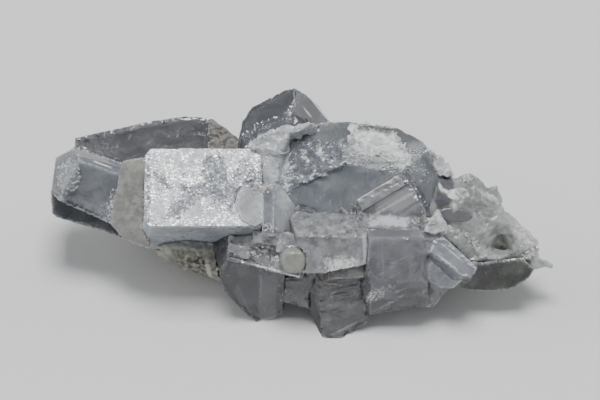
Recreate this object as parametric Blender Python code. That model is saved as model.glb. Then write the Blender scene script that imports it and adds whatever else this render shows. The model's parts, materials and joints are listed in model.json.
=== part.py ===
"""Barite with calcite: a hand-sized cluster of blocky barite crystals grown on and through calcite.

Every crystal is described on the display side of the stone: u runs to the right along it, v runs up it
and w comes out of it, all in millimetres. LEAN is the angle at which that side leans back when the stone
lies on a table, so u, v, w turn into the table's X, Y, Z in one place, stone_to_table().

A crystal is a block with faces cut from it. Its display face has an outline, and each edge of the outline
carries a side face that runs back into the stone, turned outwards (+) or inwards (-) by a flare angle.
Crystals are listed in the order in which they finished growing. A later one is moulded round the earlier
ones it meets, with a growth seam GAP wide between them.
"""

import math

import bmesh
import bpy
from mathutils import Matrix, Vector, geometry, noise

MM = 0.001
LEAN = math.radians(45.0)  # how far the display side leans back from upright
GAP = 0.3  # growth seam between two crystals, mm
BLOCK = 400.0  # side of the block that crystals are cut from, mm
DOWN = Vector((0, -math.cos(LEAN), -math.sin(LEAN)))  # towards the table, in u, v, w
TABLE = (Vector((0, 0, 0)), DOWN)  # the table, as a face that every crystal is cut by

BARITE = dict(color=(0.50, 0.54, 0.57, 1.0), roughness=0.18, metallic=0.0)
FROSTED = dict(color=(0.80, 0.82, 0.85, 1.0), roughness=0.40, metallic=0.0)
CALCITE = dict(color=(0.72, 0.72, 0.69, 1.0), roughness=0.55, metallic=0.0)
CREAM = dict(color=(0.60, 0.58, 0.52, 1.0), roughness=0.60, metallic=0.0)
MATRIX = dict(color=(0.42, 0.41, 0.37, 1.0), roughness=0.75, metallic=0.0)


# --- how a crystal is cut -----------------------------------------------------------------------


def facing(turn, tip):
    """A direction: turn degrees round the display side from +u towards +v, then tip degrees up to +w."""
    a = math.radians(turn)
    t = math.radians(tip)
    return Vector((math.cos(t) * math.cos(a), math.cos(t) * math.sin(a), math.sin(t)))


def edge_face(a, b, flare):
    """The side face that holds the edge a-b and runs back into the stone, flaring out by an angle."""
    along = (b - a).normalized()
    out = Vector((along.y, -along.x, 0)).normalized()
    f = math.radians(flare)
    back = Vector((0, 0, -1)) * math.cos(f) + out * math.sin(f)
    normal = along.cross(back).normalized()
    if normal.dot(out) < 0:
        normal = -normal
    return a, normal


def crystal(at, turn, tip, outline, flares, thick, more=()):
    """One crystal as a list of faces, each a point and an outward direction.

    at, turn, tip: a point of the display face and the way it looks. outline: its corners, anticlockwise.
    flares: one angle for each edge. thick: how far back the crystal goes, square to the display face.
    more: further faces, each (u, v, w, turn, tip)."""
    at = Vector(at)
    look = facing(turn, tip)
    corners = []
    for u, v in outline:
        drop = ((u - at.x) * look.x + (v - at.y) * look.y) / look.z
        corners.append(Vector((u, v, at.z - drop)))
    faces = [(at, look), (at - look * thick, -look)]
    for i, flare in enumerate(flares):
        faces.append(edge_face(corners[i], corners[(i + 1) % len(corners)], flare))
    for u, v, w, face_turn, face_tip in more:
        faces.append((Vector((u, v, w)), facing(face_turn, face_tip)))
    return faces


def rolled(faces, about_u, about_w, place):
    """A crystal drawn facing +w about the origin, rolled over towards the back and put in its place."""
    turn = Matrix.Rotation(math.radians(about_u), 3, "X") @ Matrix.Rotation(math.radians(about_w), 3, "Z")
    return [(turn @ point + Vector(place), turn @ look) for point, look in faces]


def cut_block(faces, grow=0.0):
    """A block cut down by each face in turn, with every face moved out by grow."""
    bm = bmesh.new()
    bmesh.ops.create_cube(bm, size=BLOCK)
    for point, look in faces:
        cut = bmesh.ops.bisect_plane(
            bm,
            geom=bm.verts[:] + bm.edges[:] + bm.faces[:],
            dist=1e-5,
            plane_co=point + look * grow,
            plane_no=look,
            clear_outer=True,
        )
        rim = [e for e in cut["geom_cut"] if isinstance(e, bmesh.types.BMEdge)]
        if rim:
            bmesh.ops.contextual_create(bm, geom=rim)
    bmesh.ops.recalc_face_normals(bm, faces=bm.faces[:])
    return bm


# --- crystals in front, in the order in which they finished growing -----------------------------


def small_stub():
    """A short clear crystal end standing on the right of the frosted block."""
    outline = [
        (-15.7, 33.7),
        (-14.2, 29.7),
        (-11.2, 28.3),
        (-9.5, 29),
        (-9.5, 37.5),
        (-11.2, 38.7),
        (-13.5, 38.2),
        (-15.2, 36),
    ]
    return [crystal((-12.5, 33, 9.6), 90, 76, outline, [8] * 8, 7)]


def small_prism():
    """An upright four-sided prism beside the stub."""
    outline = [(-9.2, 26), (-6.8, 25.7), (-6.6, 37.3), (-7.2, 38.2), (-9, 37.2)]
    return [crystal((-8, 32, 9.4), 150, 78, outline, [-10, 40, 15, -5, 0], 8)]


def rod():
    """A bar-shaped crystal lying across the right side, with a long bright lower face."""
    outline = [(32.3, 21.9), (40.4, 15.7), (42.5, 15.8), (43.6, 17.6), (35.8, 24.8), (33.2, 24.3)]
    return [crystal((37.5, 20.2, 8.4), 55, 72, outline, [28, 10, 0, 5, 20, 10], 8)]


def frosted_block():
    """The large block with a sugary display face and a smooth underside."""
    outline = [(-37.0, 28), (-9.7, 28), (-9.7, 47), (-37.2, 47.2), (-38.4, 45.5), (-38.4, 29.8)]
    return [crystal((-24, 28, 9), 90, 70, outline, [20, -8, -20, -6, 5, 16], 17)]


def shoulder_flake():
    """A thin pale flake on the top right corner of the right block."""
    outline = [(31.2, 26.4), (35.6, 26.9), (36.6, 27.3), (34.2, 31.3), (32.4, 29.6)]
    return [crystal((33.5, 28.5, 7.6), 60, 70, outline, [10, 10, -10, 0, 10], 4)]


def shoulder_sliver():
    """A pale slip of calcite down the right shoulder of the main crystal."""
    outline = [(33.5, 43.9), (35.2, 40.6), (37.4, 40.2), (37, 43.1), (34.1, 46)]
    return [crystal((35.5, 43, -0.4), 40, 70, outline, [10, 0, 0, 0, 10], 6)]


def right_block():
    """The square block right of the middle, with a bevelled upper edge and a pale sloping shelf."""
    front = [(16.5, 15.0), (31.3, 14.5), (31.0, 24.6), (29.8, 25.4), (17.3, 25.0)]
    under = [(24, 7.2, 2, -80, -10), (17.2, 10, 4, 205, 30)]
    block = crystal((24, 20, 9), -90, 84, front, [52, 6, 30, 36, 12], 16, more=under)
    rim = [(14.8, 26), (31.5, 26.5), (31.3, 31), (26.2, 40.3), (24.8, 40.9), (14.4, 33.8)]
    shelf = crystal((24, 27.4, 6.9), 93, 74, rim, [-30, 0, 10, -8, -8, 10], 7)
    return [block, shelf]


def bead():
    """A small rounded cream calcite crystal between the centre block and the lower left crystal."""
    outline = [
        (-4.5, 17.7),
        (-2.6, 16.5),
        (0, 16.3),
        (1.3, 17.5),
        (1.3, 20.8),
        (0.2, 22.6),
        (-2.4, 23),
        (-4.4, 21.8),
    ]
    return [crystal((-2, 19.5, 8.8), -80, 80, outline, [10, 8, 8, 8, 20, 30, 28, 15], 8)]


def centre_block():
    """The square block in the middle, pale at its lower edge, with a rough shelf along its top."""
    front = [(0.5, 15.6), (5, 16.5), (15.7, 16.3), (16.5, 22), (16.2, 25.2), (-0.5, 25.5)]
    return [crystal((8, 17, 8.4), -90, 83, front, [-6, -8, 10, 12, 46, 20], 15)]


def left_block():
    """The blocky crystal at the left end, with a pale upper rim and a frosted end."""
    front = [(-60, 34.4), (-47, 28.6), (-44.8, 40.6), (-55, 44.3), (-57.2, 40)]
    ends = [(-50, 45.2, -3, 72, 4), (-60, 45.4, -3, 121, 5), (-62, 38, -3, 172, 5)]
    return [crystal((-51, 37, 0.5), -70, 80, front, [-12, 8, 44, 40, 34], 12, more=ends)]


def main_crystal():
    """The largest crystal: a broad clear face, with three shallower faces above and right of it."""
    outline = [
        (-5.7, 26.5),
        (35.2, 26.5),
        (35.2, 34.5),
        (33.5, 43.7),
        (30, 49.7),
        (24.5, 52.6),
        (12, 54.2),
        (5, 54.0),
        (-2.5, 51),
        (-5, 45.5),
    ]
    flares = [0, 22, 24, 6, -10, -10, -10, -12, -10, -5]
    upper_left = (10.5, 44.5, 1.7, 118, 72)
    upper_right = (10.5, 44.5, 1.7, 82, 71)
    shoulder = (25.5, 41.5, 2.1, 12, 74)
    return [crystal((15, 40, 2.6), 85, 80, outline, flares, 20, more=[upper_left, upper_right, shoulder])]


def crust_patch():
    """A thin white calcite crust over the top edge of the main crystal."""
    outline = [
        (15, 46.8),
        (26.6, 43),
        (28.2, 44.6),
        (25.6, 48.4),
        (24.6, 51),
        (22, 53.2),
        (12.8, 53.4),
        (12.6, 49.4),
    ]
    return [crystal((19, 49, 2.1), 86, 72, outline, [10, 5, 0, 0, -5, -10, -10, 5], 5)]


def cloudy_filling():
    """Milky calcite that fills the gap between the frosted block and the main crystal."""
    column = [
        (-9.6, 25.8),
        (-5.4, 26.6),
        (-2.9, 32.3),
        (-2.3, 40),
        (-2.6, 50),
        (-4, 52.3),
        (-9.3, 50.6),
        (-12.6, 47),
    ]
    crest = [
        (-12, 46),
        (-3, 46),
        (1.5, 50.2),
        (5.3, 53.4),
        (0.3, 52.9),
        (-4, 52.5),
        (-9.4, 50.6),
        (-12.8, 47.8),
    ]
    column = crystal((-7, 38, 4.2), 80, 80, column, [-10, 10, 25, 20, 10, -5, -5, 0], 13)
    crest = crystal((-2, 49, 2.6), 95, 66, crest, [10, 20, 20, -10, -10, -10, -5, 0], 8)
    return [column, crest]


def lower_left_crystal():
    """A crystal that the stone rests on at the lower left, with a bright edge below its shelf."""
    front = [
        (-11, 4),
        (-7.5, 4.8),
        (-4.5, 6.3),
        (-4, 16.4),
        (-18, 19.8),
        (-19.7, 17),
        (-19, 12.2),
        (-13.3, 6),
    ]
    shelf_end = [(-8, 27, 0, 80, 35)]
    return [crystal((-9, 14, 2.6), -84, 62, front, [-30, -30, 6, 60, 30, 5, -10, -20], 14, more=shelf_end)]


def lower_point():
    """The clear point at the bottom, which is the front foot."""
    outline = [
        (6.2, 0),
        (10, 0),
        (16.7, 4),
        (17, 5.7),
        (15.8, 17),
        (5, 17),
        (1.6, 8.8),
        (1.8, 7),
        (2.8, 4.7),
        (5, 1.4),
    ]
    flares = [-30, -25, -10, 6, 0, 0, -8, -15, -20, -25]
    return [crystal((8, 0, 0.2), -90, 76, outline, flares, 13, more=[(4.9, 8, 2.1, 196, 44)])]


def lower_centre_crystal():
    """A darker crystal set back between the two feet."""
    outline = [(-5, 9.6), (-1.5, 8.4), (2, 7.6), (6, 7.6), (6, 17.5), (-5, 17.5)]
    return [crystal((0, 12, 1), -95, 76, outline, [-4, -4, -4, 0, 0, 0], 12)]


def peak_crystal():
    """The pointed crystal at the top, with a second layer grown parallel on its front."""
    tall = [
        (-15.4, 46),
        (6.5, 46),
        (5.4, 54.6),
        (3, 58.2),
        (0.8, 61.4),
        (-1.6, 62.5),
        (-3.8, 62),
        (-12, 57.7),
        (-14.3, 54.4),
        (-15.3, 50),
    ]
    layer = [(-15, 46.5), (-1, 48), (0.6, 52), (-0.8, 54.6), (-2.5, 57), (-9.5, 53.6), (-15, 49.8)]
    flares = [0, 8, 10, 6, -5, -10, -12, -15, -10, -5]
    tall = crystal((-8, 55, -6.5), 118, 62, tall, flares, 12, more=[(-1.7, 58, -6.4, 12, 48)])
    layer = crystal((-9, 52.5, -5), 112, 62, layer, [0, 10, 20, 20, 14, 14, 0], 5)
    return [tall, layer]


def wedge():
    """A flat cream calcite slab between the left block and the frosted block."""
    outline = [
        (-47, 28.6),
        (-43.6, 24.8),
        (-38, 22.6),
        (-37.6, 45),
        (-44.4, 44),
        (-45, 40.6),
        (-46.7, 34.5),
    ]
    return [crystal((-42, 34, 1.4), 200, 80, outline, [-10, -15, 0, -10, -5, 5, 10], 9)]


def upper_plate():
    """The long grey tablet behind the left side."""
    outline = [
        (-57, 41),
        (-22, 41),
        (-22.6, 54),
        (-24.3, 55.2),
        (-29, 55.5),
        (-37.5, 54.3),
        (-50, 51.5),
        (-56.7, 50),
    ]
    return [crystal((-40, 48, -9), 100, 74, outline, [0, 5, -5, -12, -12, -12, -12, -5], 9)]


def upper_cap():
    """Stained calcite on the right end of the long tablet."""
    outline = [
        (-23, 41),
        (-12.6, 41),
        (-12.6, 47.4),
        (-15.2, 49.6),
        (-18, 51.6),
        (-20.5, 53.8),
        (-22.8, 54.8),
    ]
    return [crystal((-19, 47, -7.6), 80, 74, outline, [0, 0, -4, -4, -4, -4, 0], 9)]


def left_plate():
    """The clear tablet behind and below the left block."""
    outline = [
        (-62.3, 31.3),
        (-61.2, 30.3),
        (-43.5, 24.9),
        (-43.5, 42),
        (-58.5, 46.7),
        (-62, 44),
        (-62.7, 38.7),
    ]
    return [crystal((-52, 36, -4.2), 190, 82, outline, [-8, -6, 0, 0, -5, -5, -4], 10)]


def lens_plate():
    """A thin clear tablet under the right end."""
    outline = [
        (42.5, 12),
        (50, 12),
        (53.8, 13),
        (56.8, 15),
        (58.2, 17.4),
        (55, 20),
        (38.5, 18),
        (38.8, 13.6),
    ]
    return [crystal((48, 15, 1.5), -95, 62, outline, [-10, -10, -10, -10, 0, 0, 0, -5], 5)]


def lower_right_block():
    """A pale grey block below the rod."""
    outline = [(31, 15), (32.5, 14.2), (35.2, 12.7), (38, 12.8), (41.5, 15.6), (37, 24), (31.6, 23.6)]
    return [crystal((35, 18, 6), -80, 80, outline, [0, -15, -15, -10, 5, 0, 0], 11)]


def lower_right_plate():
    """A clear plate under the right block."""
    outline = [(31, 8), (33, 7.6), (34.5, 9.5), (37, 12.8), (35, 16), (30, 16)]
    return [crystal((33, 12, 1.5), -60, 72, outline, [-30, -20, -20, 0, 0, 0], 9)]


# --- crystals on the back -----------------------------------------------------------------------


def back_block():
    """A blocky crystal on the back, half sunk in the calcite."""
    outline = [(-12, -8), (11, -8), (12.5, -6), (12.5, 7), (10, 9), (-10, 9), (-12, 7)]
    block = crystal((0, 0, 0), 70, 83, outline, [4, 10, 5, 10, 4, 8, 6], 18)
    return [rolled(block, -128, 7, (-25, 43.5, -23.5))]


def back_point():
    """A bevelled crystal on the back, right of the middle."""
    outline = [(-9, -8), (8, -8), (11, -4), (10, 7), (4, 10), (-7, 9), (-11, 2)]
    bevels = [(8, 6, 0, 40, 55), (-8, -5, 0, 215, 60)]
    block = crystal((0, 0, 0), 100, 84, outline, [5, 12, 8, 6, 10, 6, 8], 18, more=bevels)
    return [rolled(block, -118, -14, (21, 43, -21.5))]


def back_stub():
    """A small crystal between the two larger ones of the back."""
    outline = [(-5, -5), (5, -5.5), (6, 2), (3, 6), (-4, 5)]
    block = crystal((0, 0, 0), 250, 78, outline, [8, 6, 12, 8, 6], 12)
    return [rolled(block, -140, 24, (-3, 38.5, -26))]


# --- the massive calcite ------------------------------------------------------------------------

RIGHT_RIM = [
    (31, 16),
    (35, 13.2),
    (39, 13.9),
    (43, 15.4),
    (48, 16.4),
    (52, 17.4),
    (58, 17.3),
    (63.2, 17.4),
    (63.4, 18.3),
    (61.5, 19.4),
    (59.5, 20),
    (59.6, 22.6),
    (57.5, 26.6),
    (54, 30),
    (51.2, 31.4),
    (50.6, 35),
    (49.2, 37.8),
    (47, 37),
    (45.2, 39.2),
    (42.6, 41),
    (38.4, 39.8),
    (36, 41.4),
    (33.6, 44),
    (30, 34),
    (30, 22),
]
RIGHT_HOLE = [(50, 24.9), (52.1, 22.4), (51.2, 21.9), (48.8, 22.7)]
RIM_STEP = 2.6  # longest straight run on the rim, mm
RIM_JOG = 0.35  # how far the broken-up rim wanders, mm
RIM_HALF = 0.9  # half the thickness at the rim, mm
RIM_DEPTH = -2.6  # where the middle of the rim lies, mm
SWELL_FRONT = 4.6  # how far the mass swells forward of its rim, mm
SWELL_BACK = 6.4  # and behind it, mm
SWELL_RUN = 2.4  # how quickly it swells in from the rim, mm
LUMP_PITCH = 2.9  # spacing of the corners on its faces, mm
LOOSENESS_SEED = 1795476208  # fixes how the corners stray, because the noise vectors start off at random


def right_mass(grow=0.0):
    """The granular calcite mass at the right end, swelling in from a thin rim and holed near its tip."""
    rims = [broken_up(RIGHT_RIM, RIM_JOG), broken_up(RIGHT_HOLE, 0.0)]
    flat = []
    links = []
    for rim in rims:
        start = len(flat)
        flat += rim
        links += [(start + i, start + (i + 1) % len(rim)) for i in range(len(rim))]
    on_rim = len(flat)
    flat += grid_inside(rims)
    spots, _, faces, came_from, _, _ = geometry.delaunay_2d_cdt(flat, links, [], 0, 1e-5)
    bm = bmesh.new()
    sides = []
    for spot, origin in zip(spots, came_from):
        depth = 0.0 if min(origin) < on_rim else swell(spot, rims)
        front = bm.verts.new((spot.x, spot.y, RIM_DEPTH + RIM_HALF + SWELL_FRONT * depth))
        back = bm.verts.new((spot.x, spot.y, RIM_DEPTH - RIM_HALF - SWELL_BACK * depth))
        sides.append((front, back))
    for face in faces:
        middle = sum((spots[i] for i in face), Vector((0, 0))) / 3
        if within(middle, rims[0]) and not within(middle, rims[1]):
            bm.faces.new([sides[i][0] for i in face])
            bm.faces.new([sides[i][1] for i in reversed(face)])
    for a, b in links:
        bm.faces.new((sides[a][0], sides[a][1], sides[b][1], sides[b][0]))
    bmesh.ops.delete(bm, geom=[v for v in bm.verts if not v.link_faces], context="VERTS")
    return new_object("right_mass_body", grown(bm, grow), helper=True)


def grown(bm, grow):
    """The shape with every corner pushed out along its normal."""
    bmesh.ops.triangulate(bm, faces=bm.faces[:])
    bmesh.ops.recalc_face_normals(bm, faces=bm.faces[:])
    bm.normal_update()
    pushes = [vert.normal * grow for vert in bm.verts]
    for vert, push in zip(bm.verts, pushes):
        vert.co += push
    return bm


def broken_up(outline, jog):
    """The outline with its long runs split, and the new corners set in or out a little."""
    points = []
    for i, corner in enumerate(outline):
        a = Vector(corner)
        b = Vector(outline[(i + 1) % len(outline)])
        side = Vector((b.y - a.y, a.x - b.x)).normalized()
        parts = max(1, math.ceil((b - a).length / RIM_STEP))
        points.append(a)
        for k in range(1, parts):
            spot = a.lerp(b, k / parts)
            wander = noise.noise(Vector((spot.x, spot.y, 3.1)) * 1.7) * 2
            points.append(spot + side * jog * wander)
    return points


def grid_inside(rims):
    """Points on a loose grid inside the first rim, outside the second and clear of both."""
    noise.seed_set(LOOSENESS_SEED)
    spots = []
    for row in range(int(10 / LUMP_PITCH), int(46 / LUMP_PITCH)):
        for column in range(int(28 / LUMP_PITCH), int(66 / LUMP_PITCH)):
            spot = Vector((column * LUMP_PITCH, row * LUMP_PITCH))
            shift = noise.noise_vector(Vector((spot.x, spot.y, 0.7)))
            spot += Vector((shift.x, shift.y)) * LUMP_PITCH * 0.5
            if within(spot, rims[0]) and not within(spot, rims[1]) and clearance(spot, rims) > 0.9:
                spots.append(spot)
    return spots


def within(spot, outline):
    """True if a point lies inside a closed outline."""
    inside = False
    for i, a in enumerate(outline):
        b = outline[(i + 1) % len(outline)]
        if (a.y > spot.y) != (b.y > spot.y):
            crossing = a.x + (spot.y - a.y) * (b.x - a.x) / (b.y - a.y)
            if spot.x < crossing:
                inside = not inside
    return inside


def clearance(spot, rims):
    """How far a point is from the nearest rim."""
    nearest = BLOCK
    for rim in rims:
        for i, a in enumerate(rim):
            run = rim[(i + 1) % len(rim)] - a
            t = min(1.0, max(0.0, (spot - a).dot(run) / run.length_squared))
            nearest = min(nearest, (spot - a - run * t).length)
    return nearest


def swell(spot, rims):
    """How far the mass has swollen at a point: 0 at a rim, about 1 deep inside, uneven all over."""
    grown_in = 1 - math.exp(-clearance(spot, rims) / SWELL_RUN)
    return grown_in * (1 + 0.45 * noise.noise(Vector((spot.x, spot.y, 5.0)) / 4.5))


# The matrix is lofted through rounded sections across the stone. Each row gives u, then how far the
# section reaches: least v, greatest v, front w, back w, height over the table and depth from the front.
MATRIX_SECTIONS = [
    (-57, 35, 42, -13, -20, 15.5, 40),
    (-51, 31, 43, -11, -23, 12.5, 43),
    (-46, 28.4, 43.5, -7, -25, 9.0, 45),
    (-40, 24.6, 44, -3.4, -26, 6.0, 46),
    (-33.7, 21, 44, -2, -27, 3.0, 47),
    (-27.5, 17.6, 44, -1.2, -28, 0.9, 47),
    (-21, 14.2, 44.5, -1, -28.5, 0.2, 47),
    (-13, 10.6, 46, -1, -29, 0.0, 47),
    (-3, 8.4, 49, 0, -29, 0.2, 48),
    (7, 8, 51, 0.5, -29, -0.2, 49),
    (17, 8.6, 50, 0.5, -28.5, -0.1, 48),
    (26, 10.6, 47, -1, -27.5, 0.6, 46),
    (34, 13, 40, -4, -26, 2.4, 43),
    (42, 16, 36, -7, -23, 5.0, 39),
    (49, 19, 31, -8.5, -20, 8.0, 34),
    (55, 22.5, 27, -10, -16, 10.5, 29),
]
SECTION_POINTS = 30
SECTION_ROUNDING = 7.0  # high numbers give square sections, low ones give round sections
LUMP_SIZE = 9.0  # mm
LUMP_HEIGHT = 2.6  # mm


def matrix_body():
    """The knobbly calcite that everything grew on."""
    bm = bmesh.new()
    rings = [matrix_ring(bm, section) for section in MATRIX_SECTIONS]
    for one, two in zip(rings, rings[1:]):
        for i in range(SECTION_POINTS):
            j = (i + 1) % SECTION_POINTS
            bm.faces.new((one[i], one[j], two[j], two[i]))
    bm.faces.new(rings[0][::-1])
    bm.faces.new(rings[-1])
    bmesh.ops.triangulate(bm, faces=bm.faces[:])
    bmesh.ops.recalc_face_normals(bm, faces=bm.faces[:])
    body = new_object("matrix_body", bm, helper=True)
    boolean(body, "DIFFERENCE", under_the_table())
    return body


def matrix_ring(bm, section):
    """One rounded section of the matrix, each corner raised or sunk by the lumps of the rock."""
    u, v_low, v_high, w_front, w_back, clear, far = section
    v = (v_low + v_high) / 2
    w = (w_front + w_back) / 2
    half = math.sqrt(0.5)
    sides = [(180, v - v_low), (0, v_high - v), (90, w_front - w), (270, w - w_back)]
    sides.append((225, (v + w) * half - clear))
    sides.append((315, far - (v - w) * half))
    ring = []
    for i in range(SECTION_POINTS):
        angle = 360 * i / SECTION_POINTS
        total = 0.0
        for side, reach in sides:
            total += max(0.0, math.cos(math.radians(angle - side)) / reach) ** SECTION_ROUNDING
        reach = total ** (-1 / SECTION_ROUNDING)
        out = Vector((0, math.cos(math.radians(angle)), math.sin(math.radians(angle))))
        spot = Vector((u, v, w)) + out * reach
        lump = noise.noise(spot / LUMP_SIZE) + 0.5 * noise.noise(spot / LUMP_SIZE * 2.3)
        ring.append(bm.verts.new(spot + out * lump * min(LUMP_HEIGHT, 0.25 * reach)))
    return ring


def under_the_table():
    """A block whose top is the table, to cut the foot of the matrix flat."""
    bm = bmesh.new()
    bmesh.ops.create_cube(bm, size=BLOCK)
    turn = Vector((0, 0, -1)).rotation_difference(DOWN).to_matrix().to_4x4()
    bmesh.ops.transform(bm, matrix=Matrix.Translation(DOWN * BLOCK / 2) @ turn, verts=bm.verts[:])
    return new_object("under_the_table", bm, helper=True)


# --- putting the stone together -----------------------------------------------------------------

GROWTH_ORDER = [
    ("barite_small_stub", small_stub, BARITE),
    ("barite_small_prism", small_prism, BARITE),
    ("barite_rod", rod, BARITE),
    ("barite_frosted_block", frosted_block, FROSTED),
    ("calcite_shoulder_flake", shoulder_flake, CALCITE),
    ("calcite_shoulder_sliver", shoulder_sliver, CALCITE),
    ("barite_right_block", right_block, BARITE),
    ("calcite_bead", bead, CREAM),
    ("barite_centre_block", centre_block, BARITE),
    ("barite_left_block", left_block, BARITE),
    ("barite_main_crystal", main_crystal, BARITE),
    ("calcite_crust_patch", crust_patch, CALCITE),
    ("calcite_cloudy_filling", cloudy_filling, CALCITE),
    ("barite_lower_left_crystal", lower_left_crystal, BARITE),
    ("barite_lower_point", lower_point, BARITE),
    ("barite_lower_centre_crystal", lower_centre_crystal, BARITE),
    ("barite_peak_crystal", peak_crystal, BARITE),
    ("calcite_wedge", wedge, CREAM),
    ("barite_upper_plate", upper_plate, BARITE),
    ("calcite_upper_cap", upper_cap, CREAM),
    ("barite_left_plate", left_plate, BARITE),
    ("barite_lens_plate", lens_plate, BARITE),
    ("barite_lower_right_block", lower_right_block, BARITE),
    ("barite_lower_right_plate", lower_right_plate, BARITE),
    ("barite_back_block", back_block, BARITE),
    ("barite_back_point", back_point, BARITE),
    ("barite_back_stub", back_stub, BARITE),
]


def new_object(name, bm, helper=False):
    """A mesh object; a helper is only there to shape others."""
    mesh = bpy.data.meshes.new(name)
    bm.to_mesh(mesh)
    bm.free()
    obj = bpy.data.objects.new(name, mesh)
    bpy.context.scene.collection.objects.link(obj)
    if helper:
        obj.hide_render = True
        obj.display_type = "WIRE"
    return obj


def boolean(obj, operation, other):
    step = obj.modifiers.new(operation.title(), "BOOLEAN")
    step.operation = operation
    step.object = other
    step.solver = "EXACT"


def connected_pieces(bm):
    """The separate pieces of a shape as sets of vertices, the largest first."""
    pieces = []
    left = set(bm.verts)
    while left:
        todo = [left.pop()]
        piece = set(todo)
        while todo:
            for edge in todo.pop().link_edges:
                fresh = [vert for vert in edge.verts if vert in left]
                left.difference_update(fresh)
                piece.update(fresh)
                todo.extend(fresh)
        pieces.append(piece)
    return sorted(pieces, key=span, reverse=True)


def span(piece):
    """The size of a set of vertices, as the diagonal of its box."""
    sides = [max(v.co[i] for v in piece) - min(v.co[i] for v in piece) for i in range(3)]
    return Vector(sides).length


def set_in_stone(obj, name, finish):
    """The shape after all its cuts, without the crumbs they leave, and with its material."""
    graph = bpy.context.evaluated_depsgraph_get()
    mesh = bpy.data.meshes.new_from_object(obj.evaluated_get(graph))
    mesh.name = name
    obj.modifiers.clear()
    obj.data = mesh
    bm = bmesh.new()
    bm.from_mesh(mesh)
    bmesh.ops.remove_doubles(bm, verts=bm.verts[:], dist=0.002)
    crumbs = [vert for piece in connected_pieces(bm)[1:] for vert in piece]
    bmesh.ops.delete(bm, geom=crumbs, context="VERTS")
    bm.to_mesh(mesh)
    bm.free()
    mesh.materials.clear()
    mesh.materials.append(material(name, **finish))


def material(name, color, roughness, metallic):
    mat = bpy.data.materials.new(name)
    mat.use_nodes = True
    surface = mat.node_tree.nodes["Principled BSDF"]
    surface.inputs["Base Color"].default_value = color
    surface.inputs["Roughness"].default_value = roughness
    surface.inputs["Metallic"].default_value = metallic
    return mat


def grow_crystals():
    """Each crystal moulded round those that grew before it. Returns the nodes and the moulds."""
    nodes = []
    moulds = []
    for name, shape, finish in GROWTH_ORDER:
        blocks = shape()
        node = new_object(name, cut_block(blocks[0] + [TABLE]))
        for i, block in enumerate(blocks[1:]):
            joined = new_object(f"{name}_layer{i}", cut_block(block + [TABLE]), helper=True)
            boolean(node, "UNION", joined)
        for mould in moulds:
            boolean(node, "DIFFERENCE", mould)
        set_in_stone(node, name, finish)
        nodes.append(node)
        for i, block in enumerate(blocks):
            moulds.append(new_object(f"{name}_mould{i}", cut_block(block, GAP), helper=True))
    return nodes, moulds


def grow_mass(name, body, finish, moulds):
    """A calcite mass moulded round everything in the moulds."""
    node = body.copy()
    node.data = body.data.copy()
    node.name = name
    node.hide_render = False
    node.display_type = "TEXTURED"
    bpy.context.scene.collection.objects.link(node)
    for mould in moulds:
        boolean(node, "DIFFERENCE", mould)
    set_in_stone(node, name, finish)
    return node


def stone_to_table():
    """The turn from the stone's u, v, w in millimetres to the table's X, Y, Z in metres."""
    u_axis = Vector((1, 0, 0))
    v_axis = Vector((0, math.sin(LEAN), math.cos(LEAN)))
    w_axis = Vector((0, -math.cos(LEAN), math.sin(LEAN)))
    turn = Matrix((u_axis, v_axis, w_axis)).transposed().to_4x4()
    return Matrix.Scale(MM, 4) @ turn


def lay_on_table(nodes):
    """Turns the stone on to the table with the origin under the middle of its box."""
    for node in nodes:
        node.data.transform(stone_to_table())
    corners = [vert.co for node in nodes for vert in node.data.vertices]
    low = Vector([min(c[i] for c in corners) for i in range(3)])
    high = Vector([max(c[i] for c in corners) for i in range(3)])
    shift = Matrix.Translation((-(low.x + high.x) / 2, -(low.y + high.y) / 2, -low.z))
    for node in nodes:
        node.data.transform(shift)


def main():
    for obj in list(bpy.data.objects):
        bpy.data.objects.remove(obj)
    nodes, moulds = grow_crystals()
    nodes.append(grow_mass("calcite_right_mass", right_mass(), CALCITE, moulds))
    moulds.append(right_mass(GAP * 1.3))
    nodes.append(grow_mass("calcite_matrix", matrix_body(), MATRIX, moulds))
    for obj in list(bpy.data.objects):
        if obj not in nodes:
            bpy.data.objects.remove(obj)
    lay_on_table(nodes)


main()
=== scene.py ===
import bisect
import json
import random
from math import ceil, cos, hypot, radians, sin

import bpy
import numpy as np
from mathutils import Euler, Matrix, Vector, noise
from mathutils.bvhtree import BVHTree

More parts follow.
